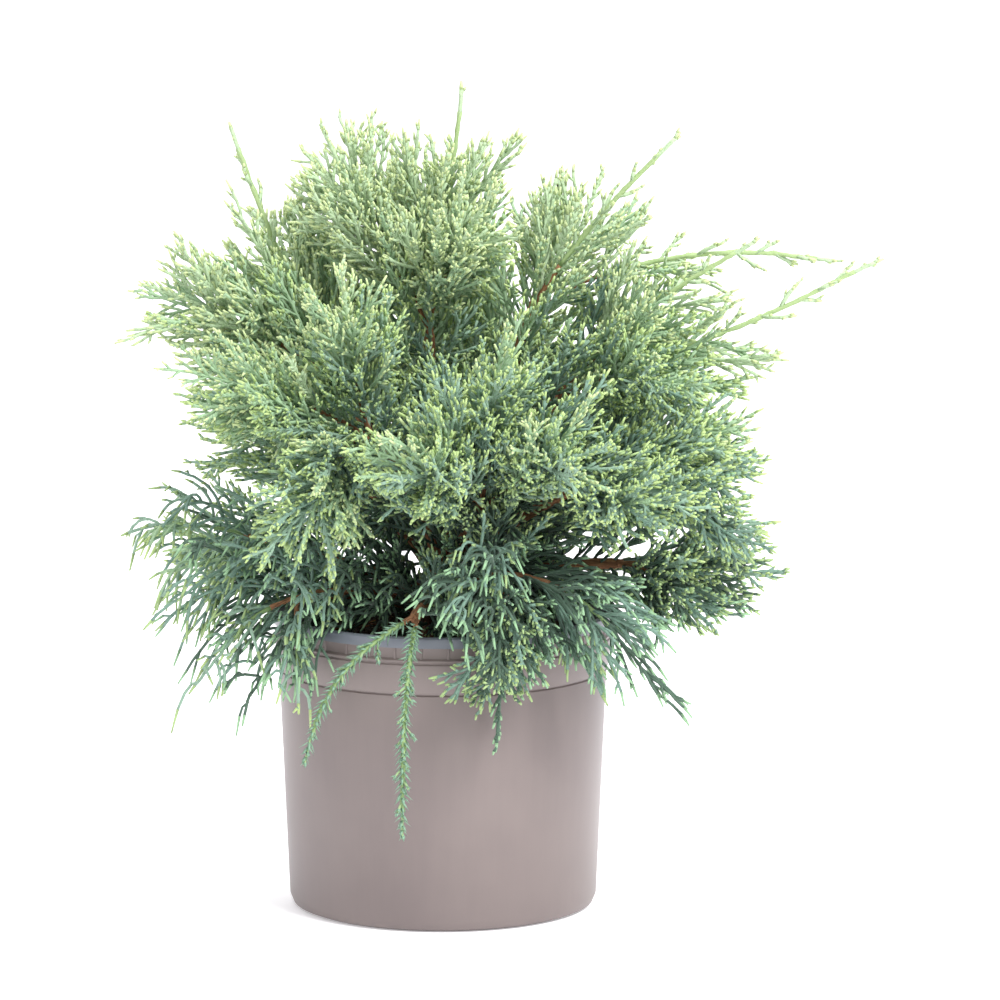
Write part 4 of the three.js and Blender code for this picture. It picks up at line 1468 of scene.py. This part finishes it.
low_corner, high_corner = np.array(CAD_BOX) / MM
roomy = np.ones(len(cords["length"]), bool)
for point in (points_at(0.5), points_at(1.0)):
    roomy &= (point > low_corner + BOX_ROOM).all(axis=1) & (point < high_corner - BOX_ROOM).all(axis=1)
    roomy &= is_free(point, cords["plume"], CORD_NEIGHBOUR_ROOM, CORD_LIMB_ROOM, CORD_POT_ROOM)
across_gap = random_cords.uniform(size=len(roomy)) < SKY_GAP_TWIGS
for share in (0.25, 0.5, 0.75, 1.0):
    roomy &= across_gap | ~in_sky_gap(points_at(share))
arches = np.array([plume["style"] == "arching" for plume in plume_list])[cords["plume"]]
roomy &= ~arches | (points_at(1.0)[:, 2] > LOWEST_ARCH + random_cords.normal(0, ARCH_PLAY, len(arches)))
roomy |= cords["level"] == 0
roomy &= stays
for level in (1, 2):
    roomy &= (cords["level"] != level) | roomy[cords["parent"]]
cords = keep(cords, roomy)
print("cords kept:", len(cords["length"]), "by level:", np.bincount(cords["level"]))

# %% [markdown]
# ## Colours by spray
# On the real plant the inner and lower sprays are a deep bluish green, the outer and higher ones are
# paler and greyer with a bloom of wax, and the tips and the long shoots are yellow-green. Each spray is
# dealt one of five plain tones by its place, with some chance, and its tips one of four others. The
# placing also paints light and shade into the tones: low, inner and drooping sprays get darker tones as
# painted shade, and high and outer ones get lighter tones as painted light. All the cords of a tone are one
# piece, which has one plain base colour and stays under 200,000 triangles.

# %% Deal out the tones
CROWN_CENTRE = np.array([20, 0, 165])
CROWN_HALF = np.array([125, 115, 115])
CROWN_FOOT = 90
CROWN_HEIGHT = 190
# Outer sprays get lighter tones, partly for their real bloom of wax and partly as painted light.
OUTER_BLOOM_AND_PAINTED_LIGHT = 0.5
# Higher sprays get lighter tones, partly for their young growth and partly as painted light; lower ones get
# darker tones as painted shade.
HIGH_GROWTH_AND_PAINTED_LIGHT = 1.0
LIGHTER_ON_WHIPS = 0.3
# Drooping sprays and their tips get darker tones as painted shade.
DROOPING_PAINTED_SHADE = 0.04
DROOPING_TIPS_PAINTED_SHADE = 0.2
TONE_PLAY = 0.1
TIP_PLAY = 0.08
TONE_SEED = 5
BODY_TONES = {"deep": "#4c6454", "blue": "#739181", "grey": "#8aa792", "green": "#97b48f",
              "pale": "#abc29c"}
BODY_QUANTILES = (0.2, 0.4, 0.62, 0.84)
TIP_TONES = {"sea": "#8db28a", "moss": "#9bb47b", "lime": "#b0c784", "straw": "#bfcf98"}
TIP_QUANTILES = (0.12, 0.4, 0.72)

outer = np.linalg.norm((spray_middle - CROWN_CENTRE) / CROWN_HALF, axis=1)
high = (spray_middle[:, 2] - CROWN_FOOT) / CROWN_HEIGHT
is_whip = np.array([plume_list[twig["plume"]]["kind"] == "whip" for twig in twigs])
random_tones = np.random.default_rng(TONE_SEED)
along_whip = is_whip * np.array([twig["share"] for twig in twigs])
droops = np.array([plume_list[twig["plume"]]["style"] in ("arching", "trailing") for twig in twigs])
# The value that picks a tone mixes the plant's own colours with painted light on high and outer sprays and
# painted shade on low, inner and drooping ones.
tone_and_painted_light = OUTER_BLOOM_AND_PAINTED_LIGHT * outer + HIGH_GROWTH_AND_PAINTED_LIGHT * high + LIGHTER_ON_WHIPS * along_whip
tone_and_painted_light = tone_and_painted_light - DROOPING_PAINTED_SHADE * droops + random_tones.normal(0, TONE_PLAY, len(twigs))
body_tone = np.digitize(tone_and_painted_light, np.quantile(tone_and_painted_light, BODY_QUANTILES))
tip_tone_and_painted_light = tone_and_painted_light + random_tones.normal(0, TIP_PLAY, len(twigs)) - DROOPING_TIPS_PAINTED_SHADE * droops
tip_tone = np.digitize(tip_tone_and_painted_light, np.quantile(tip_tone_and_painted_light, TIP_QUANTILES))
print("sprays by tone:", np.bincount(body_tone), "tips:", np.bincount(tip_tone))

# %% [markdown]
# ## From cords to meshes
# All cords with the same number of rings are worked out at once as arrays. The body of a cord ends
# where its tip begins, and both are closed, so that every small shape is a solid of its own.

# %% Rings of the cords
BAND = 2.4
TIP_LENGTH = 2.9
LARGEST_TIP = 0.45
TIP_SWELL = 1.04
END_RADIUS = 0.6
SUNK = 0.5
CORD_SIDES = 3
STEEP = 0.8


def cord_ring(cords, share, turns, size):
    """A three-sided ring at a share of every cord, turned so many half sides."""
    point, direction = on_cord(cords, share)
    is_steep = np.abs(cords["ahead"][:, 2:3]) > STEEP
    helper = np.where(is_steep, np.array([[1.0, 0, 0]]), np.array([[0, 0, 1.0]]))
    side = unit(np.cross(direction, helper))
    upward = np.cross(direction, side)
    angle = 2 * math.pi * (np.arange(CORD_SIDES) + 0.5 * turns) / CORD_SIDES
    ring = side[:, None] * np.cos(angle)[None, :, None] + upward[:, None] * np.sin(angle)[None, :, None]
    return point[:, None] + ring * (cords["radius"] * size)[:, None, None]


def band_faces(rings):
    """Faces of one closed cord: its foot, zigzag bands between the rings, and its blunt end."""
    faces = [(2, 1, 0)]
    for low in range(0, (rings - 1) * CORD_SIDES, CORD_SIDES):
        high = low + CORD_SIDES
        for j in range(CORD_SIDES):
            after = (j + 1) % CORD_SIDES
            faces.append((low + j, low + after, high + j))
            faces.append((low + after, high + after, high + j))
    last = (rings - 1) * CORD_SIDES
    faces.append((last, last + 1, last + 2))
    return np.array(faces)


def repeat_faces(points, rings):
    """Points and faces of many cords with the same number of rings."""
    count, each, _ = points.shape
    order = band_faces(rings)[None] + (np.arange(count) * each)[:, None, None]
    return points.reshape(-1, 3), order.reshape(-1, 3), np.zeros(count * each)


print("faces of a cord's tip:", len(band_faces(2)))

# %% Bodies and tips of the cords


def cord_meshes(cords):
    """Points and faces of the bodies and of the tips of all the cords given."""
    bodies, tips = [], []
    body_share = 1 - np.minimum(TIP_LENGTH / cords["length"], LARGEST_TIP)
    bands = np.maximum(1, np.round(cords["length"] * body_share / BAND).astype(int))
    for number in np.unique(bands):
        group, till = keep(cords, bands == number), body_share[bands == number]
        body = [cord_ring(group, till * k / number, k, 1) for k in range(number + 1)]
        body[0] -= (group["ahead"] * SUNK)[:, None]
        tip = [cord_ring(group, till, number, TIP_SWELL),
               cord_ring(group, np.ones(len(till)), number + 1, END_RADIUS)]
        bodies.append(repeat_faces(np.concatenate(body, axis=1), number + 1))
        tips.append(repeat_faces(np.concatenate(tip, axis=1), 2))
    return stack(bodies)[:2], stack(tips)[:2]


def volume(points, faces):
    """Volume inside a mesh: above zero when its faces point outwards."""
    a, b, c = points[faces[:, 0]], points[faces[:, 1]], points[faces[:, 2]]
    return (a * np.cross(b, c)).sum() / 6


print("the longest cord:", round(cords["length"].max(), 1), "mm")

# %% [markdown]
# The living cords are matt with a thin bloom of wax: a plain base colour for each tone, a fairly high
# roughness, a little sheen, and a fine relief of cells just under 1 mm for the edges of the scales.

# %% Foliage materials
SCALES_PER_METRE = 1100.0


def foliage_material(name, colour, roughness=0.62, sheen=0.12):
    """Waxy scale leaves of one plain base colour, with a fine relief."""
    material, shader = new_material(name, {
        "Base Color": linear(colour), "IOR": 1.42, "Specular IOR Level": 0.35,
        "Sheen Weight": sheen, "Sheen Roughness": 0.5})
    place = add_node(material, "TexCoord")
    scales = add_node(material, "TexVoronoi", {"Scale": SCALES_PER_METRE}, {"Vector": (place, "Object")})
    gloss = add_node(material, "MapRange", {"To Min": roughness - 0.08, "To Max": roughness + 0.1},
                     {"Value": (scales, "Distance")})
    relief = add_node(material, "Bump", {"Strength": 0.35, "Distance": 0.2 * MM},
                      {"Height": (scales, "Distance")})
    join_nodes(material, gloss, "Result", shader, "Roughness")
    join_nodes(material, relief, "Normal", shader, "Normal")
    return material


print("edges of the scales:", round(1000 / SCALES_PER_METRE, 1), "mm apart")

# %% Make one piece for each tone


def foliage_piece(name, points, faces, material, plumes):
    """A piece of foliage that stands for the masses whose sprays it holds."""
    assert volume(points, faces) > 0, name
    masses = sorted({plume_list[index]["node"] for index in plumes})
    finish_piece(mesh_piece(name, points, faces), [material], masses)


foliage_total = 0
for piece_name, finish, tones, tone_of_spray, half in (
        ("cords", "scale leaves", BODY_TONES, body_tone, 0), ("tips", "young tips", TIP_TONES, tip_tone, 1)):
    for tone_index, (tone, colour) in enumerate(tones.items()):
        chosen = keep(cords, tone_of_spray[cords["spray"]] == tone_index)
        points, faces = cord_meshes(chosen)[half]
        foliage_total += len(faces)
        material = foliage_material(f"{finish}, {tone}", colour)
        foliage_piece(f"{piece_name}_{tone}", points, faces, material, np.unique(chosen["plume"]))
print("foliage triangles:", foliage_total)

# %% [markdown]
# ## Stems of the plumes
# Between the bough and its sprays runs a thin stem, brown where it is woody and green near its end,
# and paler still on the long whips. It is a slim tube round the stem's own path, a little rough, and
# it starts inside the bough's tip.

# %% Woody and green stems
STEM_RING_STEP = 2.0
STEM_SIDES = 6
STEM_ROUGH = 0.15
STEM_SWELL = 1.1
STEM_ROOT = 2.5
WOODY_SHARE = {"feather": 0.6, "arching": 0.5, "whip": 0.42, "needles": 0.25}

woody, green, pale = [], [], []
for index, plume in enumerate(plume_list):
    points, frames = plume["path"]
    root = points[0] - frames[0][0] * STEM_ROOT
    rooted = np.vstack([root, points]), np.vstack([frames[:1], frames])
    curve, _, across, upward = smooth_path(rooted, STEM_RING_STEP)
    share = np.linspace(0, 1, len(curve))
    tip_radius = WHIP_RADIUS if plume["kind"] == "whip" else STEM_TIP_RADIUS
    smooth_radius = STEM_FOOT_RADIUS * STEM_SWELL * (1 - share) + tip_radius * share
    rough = np.random.default_rng(index).normal(0, STEM_ROUGH, (len(curve), STEM_SIDES))
    radii = smooth_radius[:, None] + rough
    cut = int(len(curve) * WOODY_SHARE[plume["kind"]])
    young = pale if plume["kind"] == "whip" else green
    for store, part in ((woody, slice(0, cut + 1)), (young, slice(cut, None))):
        part_points, part_faces = tube(curve[part], across[part], upward[part], radii[part], STEM_SIDES)
        around = np.tile(np.arange(STEM_SIDES) / STEM_SIDES, len(curve[part]))
        down = np.repeat(share[part] * plume["length"], STEM_SIDES)
        grain = np.stack([around, down / GRAIN_UNIT], axis=1)
        store.append((part_points, part_faces, np.vstack([grain, [0, 0], [0, 0]])))
print("stems:", len(woody), "of which with a pale end:", len(pale))

# %% Make the stems
woody_points, woody_faces, woody_grain = stack(woody)
woody_stems = mesh_piece("stems_woody", woody_points, woody_faces)
map_grain(woody_stems, woody_faces, woody_grain)
finish_piece(woody_stems, [bark])
for name, store, colour in (("green", green, "#86a06c"), ("pale", pale, "#9cb27e")):
    young_points, young_faces, _ = stack(store)
    young_stems = mesh_piece(f"stems_{name}", young_points, young_faces)
    finish_piece(young_stems, [foliage_material(f"young stems, {name}", colour, 0.6, 0.0)])

# %% [markdown]
# ## Needle shoots
# The low shoots that hang over the rim still carry young foliage: pointed needles about 5 mm long, in
# whorls of three that stand out from the shoot. A needle is a slim three-sided blade of ten faces.

# %% Shape of a needle


def needle_shape():
    """A slim pointed blade that lies along X, one unit long, and its faces."""
    foot = [(0, 0.7, 0), (0, -0.35, 0.6), (0, -0.35, -0.6)]
    middle = [(0.45, 1.0, 0.05), (0.45, -0.5, 0.55), (0.45, -0.5, -0.45)]
    point = [(1.0, 0, 0.15)]
    faces = [(0, 1, 2)]
    for j in range(3):
        after = (j + 1) % 3
        faces += [(j, 3 + j, after), (after, 3 + j, 3 + after), (3 + j, 6, 3 + after)]
    return np.array(foot + middle + point, float), np.array(faces)


needle_base, needle_faces = needle_shape()
print("points and faces of a needle:", len(needle_base), len(needle_faces))

# %% Whorls of needles
WHORL_STEP = 1.7
WHORL_FIRST = 3
WHORL_NEEDLES = 3
WHORL_TURN = 60
WHORL_PLAY = 12
NEEDLE_WIDTH = 0.72
NEEDLE_FLAT = 0.5
NEEDLE_LENGTHS = (0.8, 1.1)
NEEDLE_ANGLE = 46
NEEDLE_ANGLES = (0.75, 1.2)
# Towards the tip needles are shorter and closer: their share there, and over how many millimetres.
SHORTER_AT_TIP = (0.45, 14)
CLOSER_AT_TIP = (0.5, 10)


def needle_whorls(curve, tangents, across, rng, length):
    """Needles in whorls of three round a curve, each whorl turned against the last."""
    placed = []
    steps = np.concatenate([[0], np.cumsum(np.linalg.norm(np.diff(curve, axis=0), axis=1))])
    turn = 0
    for at in np.arange(WHORL_FIRST, steps[-1], WHORL_STEP):
        centre = np.array([np.interp(at, steps, curve[:, k]) for k in range(3)])
        k = min(int(np.searchsorted(steps, at)), len(curve) - 1)
        left = steps[-1] - at
        turn += WHORL_TURN + rng.uniform(-WHORL_PLAY, WHORL_PLAY)
        size = length * rng.uniform(*NEEDLE_LENGTHS) * min(1, SHORTER_AT_TIP[0] + left / SHORTER_AT_TIP[1])
        for number in range(WHORL_NEEDLES):
            angle = math.radians(turn + 360 / WHORL_NEEDLES * number)
            outward = across[k] * math.cos(angle) + np.cross(tangents[k], across[k]) * math.sin(angle)
            closer = min(1, CLOSER_AT_TIP[0] + left / CLOSER_AT_TIP[1])
            opened = math.radians(NEEDLE_ANGLE * rng.uniform(*NEEDLE_ANGLES) * closer)
            ahead = tangents[k] * math.cos(opened) + outward * math.sin(opened)
            side = unit(np.cross(ahead, outward))
            thick = np.cross(ahead, side) * NEEDLE_WIDTH * NEEDLE_FLAT
            axes = np.stack([ahead * size, side * NEEDLE_WIDTH, thick])
            placed.append(centre + needle_base @ axes)
    return placed


print("a whorl of", WHORL_NEEDLES, "needles every", WHORL_STEP, "mm")

# %% Grow the needles
NEEDLE_LENGTH = 5.2
NEEDLE_SEED = 40
NEEDLE_PATH_STEP = 1.0
TWIGLET_SHARE = 0.5
TWIGLET_RADIUS = 0.42
TWIGLET_POINTS = 6
TWIGLET_DROOP = 0.15
TWIGLET_NEEDLES = 0.85

needles, twiglets = [], []
needle_plumes = [index for index, plume in enumerate(plume_list) if plume["kind"] == "needles"]
for index in needle_plumes:
    random_needles = np.random.default_rng(index + NEEDLE_SEED)
    curve, tangents, across, _ = smooth_path(plume_list[index]["path"], NEEDLE_PATH_STEP)
    needles += needle_whorls(curve, tangents, across, random_needles, NEEDLE_LENGTH)
    for twig in main_twigs:
        if twig["plume"] != index:
            continue
        foot, forward, sideways = twig["place"]
        reach = twig["length"] * (1 if twig["last"] else TWIGLET_SHARE)
        droop = np.array([0, 0, -TWIGLET_DROOP * reach])
        shares = np.linspace(0, 1, TWIGLET_POINTS)
        points = np.array([foot + forward * reach * share + droop * share ** 2 for share in shares])
        frames = np.array([np.stack([forward, sideways, np.cross(forward, sideways)])] * TWIGLET_POINTS)
        curve, tangents, across, upward = smooth_path((points, frames), NEEDLE_PATH_STEP)
        radii = np.full((len(curve), STEM_SIDES), TWIGLET_RADIUS)
        twiglet_points, twiglet_faces = tube(curve, across, upward, radii, STEM_SIDES)
        twiglets.append((twiglet_points, twiglet_faces, np.zeros(len(twiglet_points))))
        needles += needle_whorls(curve, tangents, across, random_needles, NEEDLE_LENGTH * TWIGLET_NEEDLES)
print("needles:", len(needles), "twiglets:", len(twiglets))

# %% Make the needles and their twigs
needle_points = np.concatenate(needles)
needle_order = needle_faces[None] + (np.arange(len(needles)) * len(needle_base))[:, None, None]
needle_order = needle_order.reshape(-1, 3)
inside_out = volume(needle_points, needle_order) < 0
if inside_out:
    needle_order = needle_order[:, ::-1]
print("needles turned the right way out:", inside_out)
foliage_piece("needles", needle_points, needle_order,
              foliage_material("young needles", "#7ea187"), needle_plumes)
twiglet_points, twiglet_faces, _ = stack(twiglets)
finish_piece(mesh_piece("needle_twigs", twiglet_points, twiglet_faces),
             [foliage_material("needle twigs", "#93ad7c")])
